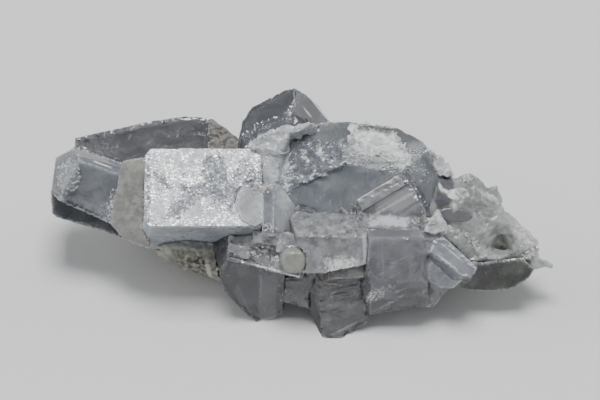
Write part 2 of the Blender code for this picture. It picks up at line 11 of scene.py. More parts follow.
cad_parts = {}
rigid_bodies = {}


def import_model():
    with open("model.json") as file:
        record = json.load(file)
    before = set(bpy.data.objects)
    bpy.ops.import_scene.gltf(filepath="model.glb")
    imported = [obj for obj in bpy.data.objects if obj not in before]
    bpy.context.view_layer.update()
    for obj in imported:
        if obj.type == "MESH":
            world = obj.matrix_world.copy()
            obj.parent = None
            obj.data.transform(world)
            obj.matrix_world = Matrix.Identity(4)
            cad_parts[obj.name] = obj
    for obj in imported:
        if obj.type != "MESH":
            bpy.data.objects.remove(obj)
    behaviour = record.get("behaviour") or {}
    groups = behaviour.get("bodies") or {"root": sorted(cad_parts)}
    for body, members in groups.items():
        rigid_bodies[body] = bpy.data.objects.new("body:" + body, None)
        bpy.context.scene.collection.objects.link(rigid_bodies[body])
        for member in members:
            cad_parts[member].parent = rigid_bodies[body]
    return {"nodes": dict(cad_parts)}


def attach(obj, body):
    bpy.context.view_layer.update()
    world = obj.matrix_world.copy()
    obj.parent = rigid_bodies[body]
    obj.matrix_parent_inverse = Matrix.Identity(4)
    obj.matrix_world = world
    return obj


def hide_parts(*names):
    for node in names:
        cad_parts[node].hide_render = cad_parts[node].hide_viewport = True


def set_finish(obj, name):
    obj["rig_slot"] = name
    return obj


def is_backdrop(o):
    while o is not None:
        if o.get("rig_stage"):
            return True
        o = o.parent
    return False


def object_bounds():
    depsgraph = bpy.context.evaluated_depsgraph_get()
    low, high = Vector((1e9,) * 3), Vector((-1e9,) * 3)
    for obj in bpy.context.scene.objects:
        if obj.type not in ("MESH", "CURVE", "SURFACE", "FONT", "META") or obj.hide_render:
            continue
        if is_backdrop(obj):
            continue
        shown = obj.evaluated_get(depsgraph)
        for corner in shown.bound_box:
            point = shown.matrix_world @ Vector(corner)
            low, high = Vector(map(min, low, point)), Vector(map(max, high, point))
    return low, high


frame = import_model()
cad_low, cad_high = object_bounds()


# --- calcite matrix ---
# The rough grey-brown calcite that all the crystals grew on. It is a loose crust of blunt grains,
# stained olive in the hollows. It shows between the crystals, behind the stone and under it.

MM = 0.001

# The stone leans back on the table. In its own frame, in mm, x runs along it, y up its show side
# and z straight out of the show side.
LEAN = radians(45)
STONE_ZERO = Vector((0.381, 20.28, -20.28))
TO_STONE = Matrix.Translation(STONE_ZERO) @ Matrix.Rotation(-LEAN, 4, "X") @ Matrix.Scale(1 / MM, 4)
FROM_STONE = TO_STONE.inverted()
TURN_TO_STONE = Matrix.Rotation(-LEAN, 3, "X")


def pick(piece):
    """Selects one piece and nothing else."""
    bpy.ops.object.select_all(action="DESELECT")
    piece.select_set(True)
    bpy.context.view_layer.objects.active = piece


def modify(piece, kind, **settings):
    """Adds one modifier and applies it."""
    pick(piece)
    tool = piece.modifiers.new("tool", kind)
    for name, value in settings.items():
        setattr(tool, name, value)
    bpy.ops.object.modifier_apply(modifier=tool.name)


def pick_edges(piece, sharp, rings=1):
    """Selects the vertices within a few rings of a sharp edge."""
    pick(piece)
    bpy.ops.object.mode_set(mode="EDIT")
    bpy.ops.mesh.select_all(action="DESELECT")
    bpy.ops.mesh.select_mode(type="EDGE")
    bpy.ops.mesh.edges_select_sharp(sharpness=radians(sharp))
    bpy.ops.mesh.select_mode(type="VERT")
    for _ in range(rings):
        bpy.ops.mesh.select_more()
    bpy.ops.object.mode_set(mode="OBJECT")


def tree_of(nodes):
    """The faces of some CAD nodes, for looking up what is near a point."""
    corners = []
    faces = []
    for node_object in nodes:
        start = len(corners)
        corners.extend(v.co for v in node_object.data.vertices)
        faces.extend(tuple(i + start for i in p.vertices) for p in node_object.data.polygons)
    return BVHTree.FromPolygons(corners, faces)


def crispen(piece, node_object, cell, cover):
    """Draws the picked vertices on to the crystal's edges and corners, which the remesh has rounded."""
    same_facing = 0.96
    reach = (cover + 0.8 * cell) * MM
    longest_step = 0.7 * cell * MM
    tree = tree_of([node_object])
    facings = [p.normal.copy() for p in node_object.data.polygons]
    for vertex in piece.data.vertices:
        if not vertex.select:
            continue
        planes = []
        hits = tree.find_nearest_range(vertex.co, reach)
        for point, _, index, _ in sorted(hits, key=lambda hit: hit[3]):
            look = facings[index]
            if all(look.dot(other) < same_facing for other, _ in planes):
                planes.append((look, look.dot(point) + cover * MM))
        planes = planes[:3]
        while len(planes) > 1:
            looks = np.array([look for look, _ in planes])
            short = np.array([level for _, level in planes]) - looks @ np.array(vertex.co)
            step = Vector(np.linalg.lstsq(looks, short, rcond=0.05)[0])
            if step.length < longest_step:
                vertex.co += step
                break
            planes.pop()


def grown(node_name, cell=0.3, cover=0.2, crisp=True):
    """A finely meshed copy of a CAD node, made fuller by cover so that it closes the seams round it."""
    merge = 0.00001
    edge_angle = 12
    source = frame["nodes"][node_name]
    piece = bpy.data.objects.new(node_name.split("_", 1)[1], source.data.copy())
    bpy.context.collection.objects.link(piece)
    piece.data.materials.clear()
    pick(piece)
    bpy.ops.object.mode_set(mode="EDIT")
    bpy.ops.mesh.select_all(action="SELECT")
    bpy.ops.mesh.remove_doubles(threshold=merge)
    bpy.ops.object.mode_set(mode="OBJECT")
    modify(piece, "REMESH", mode="VOXEL", voxel_size=cell * MM)
    modify(piece, "DISPLACE", strength=cover * MM, mid_level=0)
    modify(piece, "SHRINKWRAP", target=source, wrap_mode="OUTSIDE_SURFACE", offset=cover * MM)
    if crisp:
        pick_edges(piece, edge_angle, rings=2)
        crispen(piece, source, cell, cover)
    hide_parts(node_name)
    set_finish(piece, node_name)
    return piece


def weigh(piece, name, rule):
    """A vertex group whose weight is the rule of each vertex's place and facing in the stone's frame."""
    group = piece.vertex_groups.new(name=name)
    for vertex in piece.data.vertices:
        weight = rule(TO_STONE @ vertex.co, TURN_TO_STONE @ vertex.normal)
        if weight > 0:
            group.add([vertex.index], min(weight, 1), "REPLACE")


def roughen(piece, size, depth, group="", basis="BLENDER_ORIGINAL", octaves=2, steps=0,
            stretch=(1, 1, 1), turn=0.0, middle=0.5):
    """Raises and lowers the surface by depth with grains of this size, in mm; steps makes terraces."""
    texture = bpy.data.textures.new("grain", "CLOUDS")
    texture.noise_basis = basis
    texture.noise_scale = size
    texture.noise_depth = octaves
    if steps:
        texture.use_color_ramp = True
        ramp = texture.color_ramp
        ramp.interpolation = "CONSTANT"
        for i in range(1, steps):
            ramp.elements.new(0.25 + 0.5 * i / steps)
        for i, stop in enumerate(ramp.elements):
            level = i / steps
            stop.color = (level, level, level, 1)
    guide = bpy.data.objects.new("guide", None)
    bpy.context.collection.objects.link(guide)
    turned = Matrix.Rotation(radians(turn), 4, "Z")
    guide.matrix_world = FROM_STONE @ turned @ Matrix.Diagonal((*stretch, 1))
    bpy.context.view_layer.update()
    settings = {"texture": texture, "texture_coords": "OBJECT", "texture_coords_object": guide}
    modify(piece, "DISPLACE", strength=depth * MM, mid_level=middle, vertex_group=group, **settings)
    bpy.data.objects.remove(guide)


def seat(piece, finish):
    """Presses the foot flat on the table, smooths the shading and fixes the piece to the stone."""
    smooth_below = radians(32)
    for vertex in piece.data.vertices:
        vertex.co.z = max(vertex.co.z, 0)
    pick(piece)
    bpy.ops.object.shade_smooth_by_angle(angle=smooth_below)
    piece.data.materials.append(finish)
    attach(piece, "root")


def node(tree, kind, sockets=(), **settings):
    """A shader node with its settings and its inputs, each a value or another node's output."""
    made = tree.nodes.new(kind)
    for name, value in settings.items():
        setattr(made, name, value)
    for name, value in dict(sockets).items():
        socket = made.inputs[name]
        if isinstance(value, bpy.types.NodeSocket):
            tree.links.new(value, socket)
        else:
            socket.default_value = (*value, 1) if socket.type == "RGBA" else value
    return made


def maths(tree, kind, first, second=0.0):
    """Two numbers put together by a maths node."""
    return node(tree, "ShaderNodeMath", {0: first, 1: second}, operation=kind).outputs[0]


def mixed(tree, share, low, high):
    """The mix of two numbers or two colours by a share."""
    kind, first, result = ("RGBA", 6, 2) if isinstance(high, tuple) else ("FLOAT", 2, 0)
    sockets = {0: share, first: low, first + 1: high}
    return node(tree, "ShaderNodeMix", sockets, data_type=kind).outputs[result]


def spread(tree, value, low, high, top=1.0):
    """A number that rises from 0 to top while value goes from low to high."""
    sockets = {"Value": value, "From Min": low, "From Max": high, "To Min": 0.0, "To Max": top}
    return node(tree, "ShaderNodeMapRange", sockets, interpolation_type="SMOOTHSTEP").outputs["Result"]


def clouds(tree, place, size, detail=2.0):
    """Noise with lumps of this size in mm."""
    sockets = {"Vector": place, "Scale": 1 / size, "Detail": detail, "Roughness": 0.6}
    return node(tree, "ShaderNodeTexNoise", sockets).outputs["Fac"]


def stone_finish(name, body, cloud, clear=0.0, polish=0.5, drift=6.0, milky=0.6, fleck=0.5, flecked=0.3,
                 relief=0.5, glow=1.0, depth=2.0, tint=(0.66, 0.70, 0.74), dense=40.0, worn=0.5,
                 wisps=0.4, along=(1, 3, 1), turn=0.0):
    """Mineral of the colour body with milky clouds of the colour cloud, threads, flecks and pale edges,
    partly wear and partly painted light caught along the edges.
    """
    edge_pale_wear_and_glow = (0.66, 0.67, 0.68)
    refraction = 1.6
    finish = bpy.data.materials.new(name)
    finish.use_nodes = True
    tree = finish.node_tree
    shader = tree.nodes["Principled BSDF"]
    spot = node(tree, "ShaderNodeTexCoord").outputs["Object"]
    sockets = {"Vector": spot, "Location": STONE_ZERO, "Rotation": (-LEAN, 0, 0), "Scale": (1 / MM,) * 3}
    place = node(tree, "ShaderNodeMapping", sockets, name="Stone frame").outputs["Vector"]
    covers = [
        spread(tree, clouds(tree, place, drift, 3), 0.36, 0.68, milky),
        spread(tree, clouds(tree, place, drift / 4, 4), 0.45, 0.7, 0.5 * milky),
        spread(tree, clouds(tree, place, fleck, 2), 0.6, 0.74, flecked),
    ]
    if wisps:
        sockets = {"Vector": place, "Rotation": (0, 0, radians(turn)), "Scale": along}
        grained = node(tree, "ShaderNodeMapping", sockets, vector_type="TEXTURE").outputs["Vector"]
        ridge = maths(tree, "ABSOLUTE", maths(tree, "SUBTRACT", clouds(tree, grained, 2.4, 4), 0.5))
        where = spread(tree, clouds(tree, place, 3.5, 1), 0.5, 0.65, wisps)
        covers.append(maths(tree, "MULTIPLY", spread(tree, ridge, 0.03, 0.0), where))
    cover = covers[0]
    for more in covers[1:]:
        cover = maths(tree, "MAXIMUM", cover, more)
    skin = clouds(tree, place, 0.35, 3)
    fine = node(tree, "ShaderNodeBump", {"Height": skin, "Distance": 0.05 * MM, "Strength": relief})
    colour = mixed(tree, cover, body, cloud)
    # pale near sharp edges: partly wear, partly painted light standing in for light caught along the
    # crystal's edges
    if worn:
        nearness = node(tree, "ShaderNodeAttribute", attribute_name="worn").outputs["Fac"]
        edge = spread(tree, maths(tree, "MULTIPLY", nearness, clouds(tree, place, 1.1, 2)), 0.25, 0.55, worn)
        colour = mixed(tree, edge, colour, edge_pale_wear_and_glow)
        cover = maths(tree, "MAXIMUM", cover, edge)
    tree.links.new(colour, shader.inputs["Base Color"])
    tree.links.new(mixed(tree, skin, polish * 0.7, polish * 1.4), shader.inputs["Roughness"])
    tree.links.new(fine.outputs["Normal"], shader.inputs["Normal"])
    shader.inputs["IOR"].default_value = refraction
    shader.inputs["Subsurface Weight"].default_value = glow
    shader.inputs["Subsurface Scale"].default_value = depth * MM
    shader.inputs["Subsurface Radius"].default_value = (1.0, 1.05, 1.15)
    if clear:
        tree.links.new(mixed(tree, cover, clear, clear * 0.2), shader.inputs["Transmission Weight"])
        volume = node(tree, "ShaderNodeVolumeAbsorption", {"Color": tint, "Density": dense})
        tree.links.new(volume.outputs[0], tree.nodes["Material Output"].inputs["Volume"])
    return finish


def blotch(finish, at, size, colour=None, clear=None, polish=None, turn=0.0, soft=0.6, ragged=0.5,
           grain=1.0, flecks=None, amount=1.0, square=False):
    """A patch of another look in the stone, in mm; it goes right through unless it has a third number."""
    at = (*at, 0)[:3]
    size = (*size, 20)[:3]
    tree = finish.node_tree
    shader = tree.nodes["Principled BSDF"]
    place = tree.nodes["Stone frame"].outputs["Vector"]
    sockets = {"Vector": place, "Location": at, "Rotation": (0, 0, radians(turn)), "Scale": size}
    local = node(tree, "ShaderNodeMapping", sockets, vector_type="TEXTURE").outputs["Vector"]
    if square:
        apart = node(tree, "ShaderNodeSeparateXYZ", {0: local}).outputs
        reach = maths(tree, "MAXIMUM", maths(tree, "ABSOLUTE", apart[0]), maths(tree, "ABSOLUTE", apart[1]))
        reach = maths(tree, "MAXIMUM", reach, maths(tree, "ABSOLUTE", apart[2]))
    else:
        reach = node(tree, "ShaderNodeVectorMath", {0: local}, operation="LENGTH").outputs["Value"]
    wobble = maths(tree, "MULTIPLY", clouds(tree, place, grain, 3), 2 * ragged)
    share = spread(tree, maths(tree, "ADD", reach, wobble), 1 + ragged, 1 + ragged - soft, amount)
    if flecks:
        share = maths(tree, "MULTIPLY", share, spread(tree, clouds(tree, place, flecks, 1), 0.42, 0.6))
    for socket, value in (("Base Color", colour), ("Transmission Weight", clear), ("Roughness", polish)):
        if value is not None and shader.inputs[socket].is_linked:
            before = shader.inputs[socket].links[0].from_socket
            tree.links.new(mixed(tree, share, before, value), shader.inputs[socket])


matrix = grown("calcite_matrix", cell=0.45, crisp=False)
roughen(matrix, 5, 1.0)
roughen(matrix, 1.6, 0.8, basis="VORONOI_F1", octaves=1)
roughen(matrix, 0.8, 0.4, octaves=2)
matrix_finish = stone_finish(
    "rough matrix", (0.20, 0.195, 0.175), (0.42, 0.42, 0.385), polish=0.6, drift=3, milky=0.8, fleck=0.8,
    flecked=0.6, relief=1.0, depth=0.8, worn=0,
)
OLIVE = (0.085, 0.078, 0.05)
CREAM = (0.45, 0.43, 0.37)
blotch(matrix_finish, (-26, 18), (9, 5), OLIVE, polish=0.7, turn=-20, flecks=1.4, grain=2)
blotch(matrix_finish, (-23, 17), (0.8, 4), CREAM, turn=12, ragged=0.8, grain=1.5)
blotch(matrix_finish, (-20.5, 17.5), (0.7, 3), CREAM, turn=5, ragged=0.8, grain=1.5)
blotch(matrix_finish, (-27.5, 23.6), (9.5, 1.3), (0.22, 0.23, 0.24), polish=0.3, ragged=0.4)
seat(matrix, matrix_finish)


# --- barite crystals of the hidden side ---
# Three blocky barite crystals on the back of the stone. Each has a clear skin over a milky cloud
# sealed in it, growth terraces on its faces and nicks along its free edges.

CLEAR_GREY = (0.31, 0.325, 0.345)
PALE_GREY = (0.46, 0.47, 0.485)
CLOUD_GREY = (0.31, 0.325, 0.345)
CLOUD_PALE = (0.46, 0.475, 0.49)


def neighbours(piece):
    """The faces of all the CAD nodes round the one that a piece stands for."""
    return tree_of([other for name, other in frame["nodes"].items() if name != piece["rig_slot"]])


def weather(piece, swell=0.08, terrace=0.03, nick=0.22, turn=0.0):
    """The skin of a grown crystal: faces not quite flat, low growth terraces and nicked free edges; mm."""
    rings = 3
    edge_angle = 28
    free_from = 0.6 * MM
    near = [0.0] * len(piece.data.vertices)
    for ring in range(rings):
        pick_edges(piece, edge_angle, ring)
        for vertex in piece.data.vertices:
            near[vertex.index] += vertex.select / rings
    # the share near sharp edges that the finishes paint pale, partly as wear and partly as painted edge light
    worn = piece.data.attributes.new("worn", "FLOAT", "POINT")
    worn.data.foreach_set("value", near)
    others = neighbours(piece)
    free = piece.vertex_groups.new(name="free edges")
    for vertex in piece.data.vertices:
        if near[vertex.index] > 0.5 and others.find_nearest(vertex.co, free_from)[0] is None:
            bite = noise.noise((TO_STONE @ vertex.co) / 1.3) - 0.05
            if bite > 0:
                free.add([vertex.index], min(1, 2 * bite * near[vertex.index]), "REPLACE")
    roughen(piece, 6, swell, octaves=1)
    roughen(piece, 2.4, terrace, steps=5, stretch=(3, 1, 1), turn=turn)
    modify(piece, "DISPLACE", strength=-nick * MM, mid_level=0, vertex_group="free edges")


def clear_skin(name, body=CLEAR_GREY, cloud=PALE_GREY, clear=0.9, polish=0.08, milky=0.35, **more):
    """The clear outer millimetre of a barite crystal."""
    return stone_finish(name + " skin", body, cloud, clear, polish, milky=milky, **more)


def seal(piece, skin, milk, inset=0.4, hollows=1.4, **how):
    """Seats a crystal and seals a cloud of two milk colours in it, inset to inset + hollows mm deep."""
    cell = 0.5
    size = 4.0
    seam = 0.4
    fade = 1.6
    seat(piece, skin)
    cloud = bpy.data.objects.new(piece.name + "_cloud", piece.data.copy())
    cloud.vertex_groups.clear()
    bpy.context.collection.objects.link(cloud)
    cloud.data.materials.clear()
    modify(cloud, "REMESH", mode="VOXEL", voxel_size=cell * MM)
    others = neighbours(piece)
    away = cloud.vertex_groups.new(name="away")
    for vertex in cloud.data.vertices:
        reach = others.find_nearest(vertex.co, 2 * MM)[3]
        away.add([vertex.index], 1 if reach is None else max(0, (reach / MM - seam) / fade), "REPLACE")
    modify(cloud, "DISPLACE", strength=-0.1 * MM, mid_level=0)
    modify(cloud, "DISPLACE", strength=(0.1 - inset) * MM, mid_level=0, vertex_group="away")
    roughen(cloud, size, hollows, group="away", middle=0.85)
    roughen(cloud, size / 4, hollows / 4, group="away", middle=0.85)
    modify(cloud, "REMESH", mode="VOXEL", voxel_size=cell * MM)
    pick(cloud)
    bpy.ops.object.shade_smooth()
    cloud.data.materials.append(stone_finish(cloud.name, *milk, polish=0.6, worn=0, depth=3, **how))
    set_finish(cloud, piece["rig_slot"])
    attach(cloud, "root")
    piece.visible_shadow = False


def clear_crystal(node_name, skin, milk, cell=0.3, nick=0.22, slant=0.0, **how):
    """A crystal grown, weathered and sealed in one go; slant turns its growth terraces."""
    piece = grown(node_name, cell)
    weather(piece, nick=nick, turn=slant)
    seal(piece, skin, milk, **how)
    return piece


def small_crystal(node_name, skin, milk, hollows=0.8, **how):
    """A clear crystal in a finer mesh, with a thinner clear skin."""
    return clear_crystal(node_name, skin, milk, 0.25, inset=0.3, hollows=hollows, **how)


back_skin = clear_skin("back crystals")
for name in ("barite_back_block", "barite_back_point", "barite_back_stub"):
    clear_crystal(name, back_skin, (CLOUD_GREY, CLOUD_PALE), cell=0.4)


# --- lower crystals ---
# Glassy dark grey barite crystals that hang below the front. Two of their tips are the stone's
# front feet. The left one has a pale shelf whose broken edge carries a painted highlight.

show_side = tree_of(frame["nodes"].values())
DOWN = (FROM_STONE.to_3x3() @ Vector((0, 0, -1))).normalized()


def on_show_side(x, y, tree=show_side):
    """The place and facing of the show side, in the stone's frame, or None beside the stone."""
    point, look, _, _ = tree.ray_cast(FROM_STONE @ Vector((x, y, 80)), DOWN)
    if point is None:
        return None
    return TO_STONE @ point, TURN_TO_STONE @ look


def grow_blocks(name, piece, spots, size, finish, chance, facing=None, tilt=5.0, spin=8.0, turn=0.0,
                thin=0.6, sink=0.3, stretch=1.0, sway=0.0):
    """Small crystal blocks, the larger with clipped corners, set at spots, each a place and a facing."""
    smallest_clipped = 0.35
    sway_size = 2.2
    bpy.ops.mesh.primitive_cube_add(size=1)
    block = bpy.context.object
    bpy.ops.object.mode_set(mode="EDIT")
    bpy.ops.mesh.select_all(action="SELECT")
    if size > smallest_clipped:
        bpy.ops.mesh.bevel(offset=0.14, segments=1, affect="VERTICES")
    bpy.ops.object.mode_set(mode="OBJECT")
    corners = [v.co.copy() for v in block.data.vertices]
    sides = [tuple(p.vertices) for p in block.data.polygons]
    bpy.data.objects.remove(block)
    points = []
    faces = []
    for centre, look in spots:
        out = (facing or look).normalized()
        along = (Vector((1, 0, 0)) - out * out.x).normalized()
        basis = Matrix((along, out.cross(along), out)).transposed()
        lean_x = sway * noise.noise(centre / sway_size)
        lean_y = sway * noise.noise(centre / sway_size + Vector((40, 0, 0)))
        basis = basis @ Matrix.Rotation(radians(chance.gauss(turn, spin)), 3, "Z")
        basis = basis @ Matrix.Rotation(radians(chance.gauss(lean_x, tilt)), 3, "X")
        basis = basis @ Matrix.Rotation(radians(chance.gauss(lean_y, tilt)), 3, "Y")
        width = size * chance.uniform(0.5, 1.5)
        sizes = (width * stretch * chance.uniform(0.8, 1.4), width * chance.uniform(0.7, 1), width * thin)
        basis = basis @ Matrix.Diagonal(sizes)
        middle = centre + out * (width * thin * chance.uniform(-0.5 - sink, 0.1))
        start = len(points)
        points.extend(FROM_STONE @ (basis @ corner + middle) for corner in corners)
        faces.extend(tuple(i + start for i in side) for side in sides)
    mesh = bpy.data.meshes.new(name)
    mesh.from_pydata(points, [], faces)
    mesh.materials.append(finish)
    blocks = bpy.data.objects.new(name, mesh)
    bpy.context.collection.objects.link(blocks)
    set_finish(blocks, piece["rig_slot"])
    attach(blocks, "root")


def sprinkle(name, piece, count, size, rule, seed, finish, **how):
    """Blocks strewn over a piece, as densely as the rule says at each place and facing."""
    chance = random.Random(seed)
    places = []
    sums = []
    total = 0.0
    for side in piece.data.polygons:
        centre = TO_STONE @ side.center
        look = TURN_TO_STONE @ side.normal
        weight = rule(centre, look) * side.area
        if weight > 0:
            total += weight
            sums.append(total)
            places.append((centre, look))
    spots = []
    for _ in range(count):
        drawn = bisect.bisect_left(sums, chance.random() * total)
        spots.append(places[min(drawn, len(places) - 1)])
    grow_blocks(name, piece, spots, size, finish, chance, **how)


def crust(name, piece, paths, size, finish, seed, crowd=1.0, ground=None, **how):
    """Blocks strewn along paths on the show side; a path is a row of (x, y, half width)."""
    chance = random.Random(seed)
    tree = tree_of(ground) if ground else show_side
    spots = []
    for path in paths:
        for (x0, y0, w0), (x1, y1, w1) in zip(path, path[1:]):
            area = hypot(x1 - x0, y1 - y0) * (w0 + w1)
            for _ in range(ceil(3 * crowd * area / size**2)):
                share = chance.random()
                width = w0 + (w1 - w0) * share
                x = x0 + (x1 - x0) * share + chance.uniform(-width, width)
                y = y0 + (y1 - y0) * share + chance.uniform(-width, width)
                spots.append(on_show_side(x, y, tree))
    spots = [spot for spot in spots if spot]
    grow_blocks(name, piece, spots, size, finish, chance, **how)


def slab(name, piece, at, sizes, finish, turn=0.0, facing=None, cell=0.22, rough=0.12):
    """A small bar or plate on the show side: at is its middle, (x, y) on the surface or (x, y, z); mm."""
    place, look = on_show_side(*at[:2])
    place = Vector(at) if len(at) == 3 else place
    look = Vector(facing).normalized() if facing else look
    along = (Vector((1, 0, 0)) - look * look.x).normalized()
    basis = Matrix((along, look.cross(along), look)).transposed()
    basis = basis @ Matrix.Rotation(radians(turn), 3, "Z")
    bpy.ops.mesh.primitive_cube_add(size=1)
    bar = bpy.context.object
    bar.name = name
    bar.data.transform(FROM_STONE @ Matrix.Translation(place) @ (basis @ Matrix.Diagonal(sizes)).to_4x4())
    modify(bar, "BEVEL", width=0.15 * MM, segments=1)
    modify(bar, "REMESH", mode="VOXEL", voxel_size=cell * MM)
    roughen(bar, 3.0, rough)
    roughen(bar, 1.0, rough)
    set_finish(bar, piece["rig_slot"])
    seat(bar, finish)


def boulder(name, piece, boxes, finish, rough, soft=4):
    """A rough lump of boxes run together; each box is a middle, sizes and turns in the stone's frame."""
    bpy.ops.object.select_all(action="DESELECT")
    for middle, sizes, turns in boxes:
        bpy.ops.mesh.primitive_cube_add(size=1)
        turned = Euler([radians(turn) for turn in turns]).to_matrix().to_4x4()
        placed = FROM_STONE @ Matrix.Translation(middle) @ turned
        bpy.context.object.data.transform(placed @ Matrix.Diagonal((*sizes, 1)))
        bpy.context.object.name = name
    for part in bpy.data.objects:
        part.select_set(part.name.startswith(name))
    bpy.ops.object.join()
    lump = bpy.context.object
    modify(lump, "REMESH", mode="VOXEL", voxel_size=0.25 * MM)
    modify(lump, "SMOOTH", factor=0.6, iterations=soft)
    roughen(lump, 3.0, rough)
    roughen(lump, 1.0, rough)
    roughen(lump, 0.5, rough / 3)
    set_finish(lump, piece["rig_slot"])
    seat(lump, finish)
    lump.name = name
    return lump


def streaks(finish, clear, rows, **how):
    """Thin threads in the stone; a row is x, y, two half sizes, a turn, ragged, amount and a colour."""
    for x, y, long, wide, turn, ragged, amount, colour in rows:
        blotch(finish, (x, y), (long, wide), colour, clear, turn=turn, ragged=ragged, amount=amount, **how)


def grain_finish(name, body, cloud, polish, drift, milky=1, glow=0):
    """The finish of small bright grains."""
    return stone_finish(name, body, cloud, 0, polish, drift, milky, glow=glow, worn=0)


DARK_MILK = ((0.12, 0.125, 0.133), (0.24, 0.247, 0.26))
SMOKY = (0.17, 0.175, 0.185)
SMOKY_PALE = (0.30, 0.305, 0.315)
SMOKY_THREAD = (0.36, 0.37, 0.38)
WHITE = (0.72, 0.73, 0.73)

lower_left = grown("barite_lower_left_crystal")
roughen(lower_left, 0.6, 0.06, stretch=(14, 1, 1), turn=10)
weather(lower_left, turn=15)
lower_left_skin = clear_skin("lower left", SMOKY, SMOKY_PALE, turn=20, wisps=0.9, worn=0.2, dense=80)
blotch(lower_left_skin, (-18.6, 10.5), (3, 13), (0.075, 0.08, 0.088), 0.5, turn=32, soft=0.4, ragged=0.2)
# painted glints: pale flecks on the dark left facet
blotch(lower_left_skin, (-19.6, 12), (1.6, 9), (0.42, 0.43, 0.44), 0.2, turn=32, flecks=0.35, amount=0.7)
blotch(lower_left_skin, (-11, 12.5), (6, 5), (0.12, 0.127, 0.138), 0.5, ragged=0.3, soft=0.5)
blotch(
    lower_left_skin, (-8, 9.5), (2.8, 8), (0.26, 0.265, 0.275), 0.4, square=True, soft=0.4, ragged=0.3,
    amount=0.6,
)
streaks(lower_left_skin, 0.3, [
    (-9.8, 12.5, 0.3, 5, -3, 1.1, 0.45, (0.38, 0.39, 0.40)),
    (-13.5, 8.5, 0.25, 7, 24, 0.9, 0.3, SMOKY_THREAD),
    (-10.5, 4.2, 6, 0.3, 16, 0.8, 0.5, SMOKY_THREAD),
])
seal(lower_left, lower_left_skin, DARK_MILK)
pale_block = clear_skin(
    "pale block", (0.36, 0.365, 0.375), (0.52, 0.525, 0.53), clear=0.3, milky=0.8, drift=3, polish=0.15,
    worn=0,
)
blotch(pale_block, (-9, 22.5), (4.5, 3), (0.25, 0.255, 0.265), 0.4, flecks=1.2, ragged=0.6)
shelf = boulder("lower_left_shelf", lower_left, [
    ((-11, 20.9, 2.3), (15, 6.6, 4.4), (0, 0, -13)),
    ((-15.2, 21.8, 3.2), (5.6, 3.4, 4), (0, 0, -8)),
    ((-7.4, 25.2, 4.2), (8.6, 3.4, 6), (0, 0, -3)),
    ((-2.4, 23.8, 4), (6.3, 5, 6.6), (0, 0, -8)),
    ((-12.5, 24.2, 2.6), (6, 3, 3.6), (0, 0, 5)),
    ((-2.4, 17.9, 3.4), (7, 4.2, 6.4), (0, -10, -13)),
], pale_block, rough=0.6, soft=14)
# painted highlight: the shelf's broken edge is made of bars in a bright colour that stands in for the glint
# along it
glint_edge_finish = stone_finish(
    "bright edge", (0.5, 0.51, 0.52), (0.8, 0.81, 0.81), polish=0.15, drift=2, milky=1, glow=0.4, worn=0,
)
for name, at, sizes, facing in (
    ("shelf_edge", (-12.8, 18.7, 4.5), (10.0, 0.6, 1.2), (0, 0, 1)),
    ("shelf_edge_2", (-3.9, 16.5, 5.7), (8.4, 0.55, 1.6), (-0.2, 0, 0.98)),
):
    slab(name, lower_left, at, sizes, glint_edge_finish, turn=-14, facing=facing, cell=0.13, rough=0.3)
icy = grain_finish("icy grains", (0.50, 0.51, 0.52), (0.82, 0.83, 0.84), 0.1, 2, milky=0.9)
crust("broken_shelf", lower_left, [
    [(-12, 22, 1.2), (-8, 21, 1.8), (-5.4, 20, 1.6)],
    [(-15, 19.6, 0.3), (-5, 17.2, 0.5)],
], 0.5, icy, 23, crowd=0.2, tilt=8, spin=40, thin=0.25, sway=24, sink=0.4, ground=[shelf])

lower_centre_skin = clear_skin("lower centre", SMOKY, SMOKY_PALE, wisps=0.8, turn=-60, worn=0.1, dense=80)
clear_crystal("barite_lower_centre_crystal", lower_centre_skin, DARK_MILK)

lower_point = grown("barite_lower_point")
roughen(lower_point, 0.6, 0.07, stretch=(14, 1, 1), turn=14)
weather(lower_point, turn=5)
point_skin = clear_skin(
    "lower point", (0.11, 0.115, 0.123), (0.24, 0.245, 0.255), milky=0.4, wisps=1.0, worn=0.2, dense=80,
    along=(1, 6, 1), turn=-78,
)
streaks(point_skin, 0.3, [
    (9, 8.5, 6, 1.8, 12, 1.1, 0.5, (0.27, 0.28, 0.29)),
    (8, 5, 7, 0.8, 5, 1.2, 0.4, (0.27, 0.28, 0.29)),
], soft=1.2, grain=1.4)
streaks(point_skin, 0.3, [(12, 2.9, 5, 0.4, 27, 0.8, 0.6, (0.45, 0.46, 0.47))])
blotch(point_skin, (2.6, 6.5), (2.6, 6.5), (0.035, 0.038, 0.043), 0.4, turn=15, ragged=0.2, soft=0.3)
blotch(point_skin, (7.6, 16.2), (3, 1.6), (0.22, 0.218, 0.20), 0.2, ragged=0.5)
brownish = stone_finish(
    "brownish head", (0.15, 0.148, 0.14), (0.25, 0.25, 0.243), 0.2, 0.25, drift=3, milky=0.8, worn=0.2,
    wisps=0.8,
)
boulder("point_head", lower_point, [
    ((11.4, 16.6, 3.2), (9.2, 3.2, 6.4), (0, 0, 4)),
    ((7.8, 15.4, 2.6), (3.6, 3.8, 5.2), (0, 0, -10)),
], brownish, rough=0.25)
point_milk = ((0.075, 0.078, 0.085), (0.16, 0.165, 0.175))
seal(lower_point, point_skin, point_milk, along=(1, 4, 1), turn=-78, wisps=0.9)

lower_right_milk = ((0.42, 0.43, 0.44), (0.56, 0.57, 0.58))
small_crystal("barite_lower_right_block", clear_skin("lower right", clear=0.7, milky=0.7), lower_right_milk)
plate_milk = ((0.16, 0.165, 0.155), (0.28, 0.285, 0.27))
small_crystal("barite_lower_right_plate", clear_skin("lower right plate", dense=120), plate_milk, 0.6)


# --- left end ---
# A square barite block with a netted white cap on its free end and a cream rim along its top, and a
# dark clear tablet behind and below it.

left_plate = grown("barite_left_plate")
weather(left_plate)
dark_clear = stone_finish(
    "left plate", (0.075, 0.078, 0.085), (0.17, 0.175, 0.185), 0.25, 0.1, milky=0.5, dense=150, wisps=0.8,
    worn=0.3,
)
seat(left_plate, dark_clear)

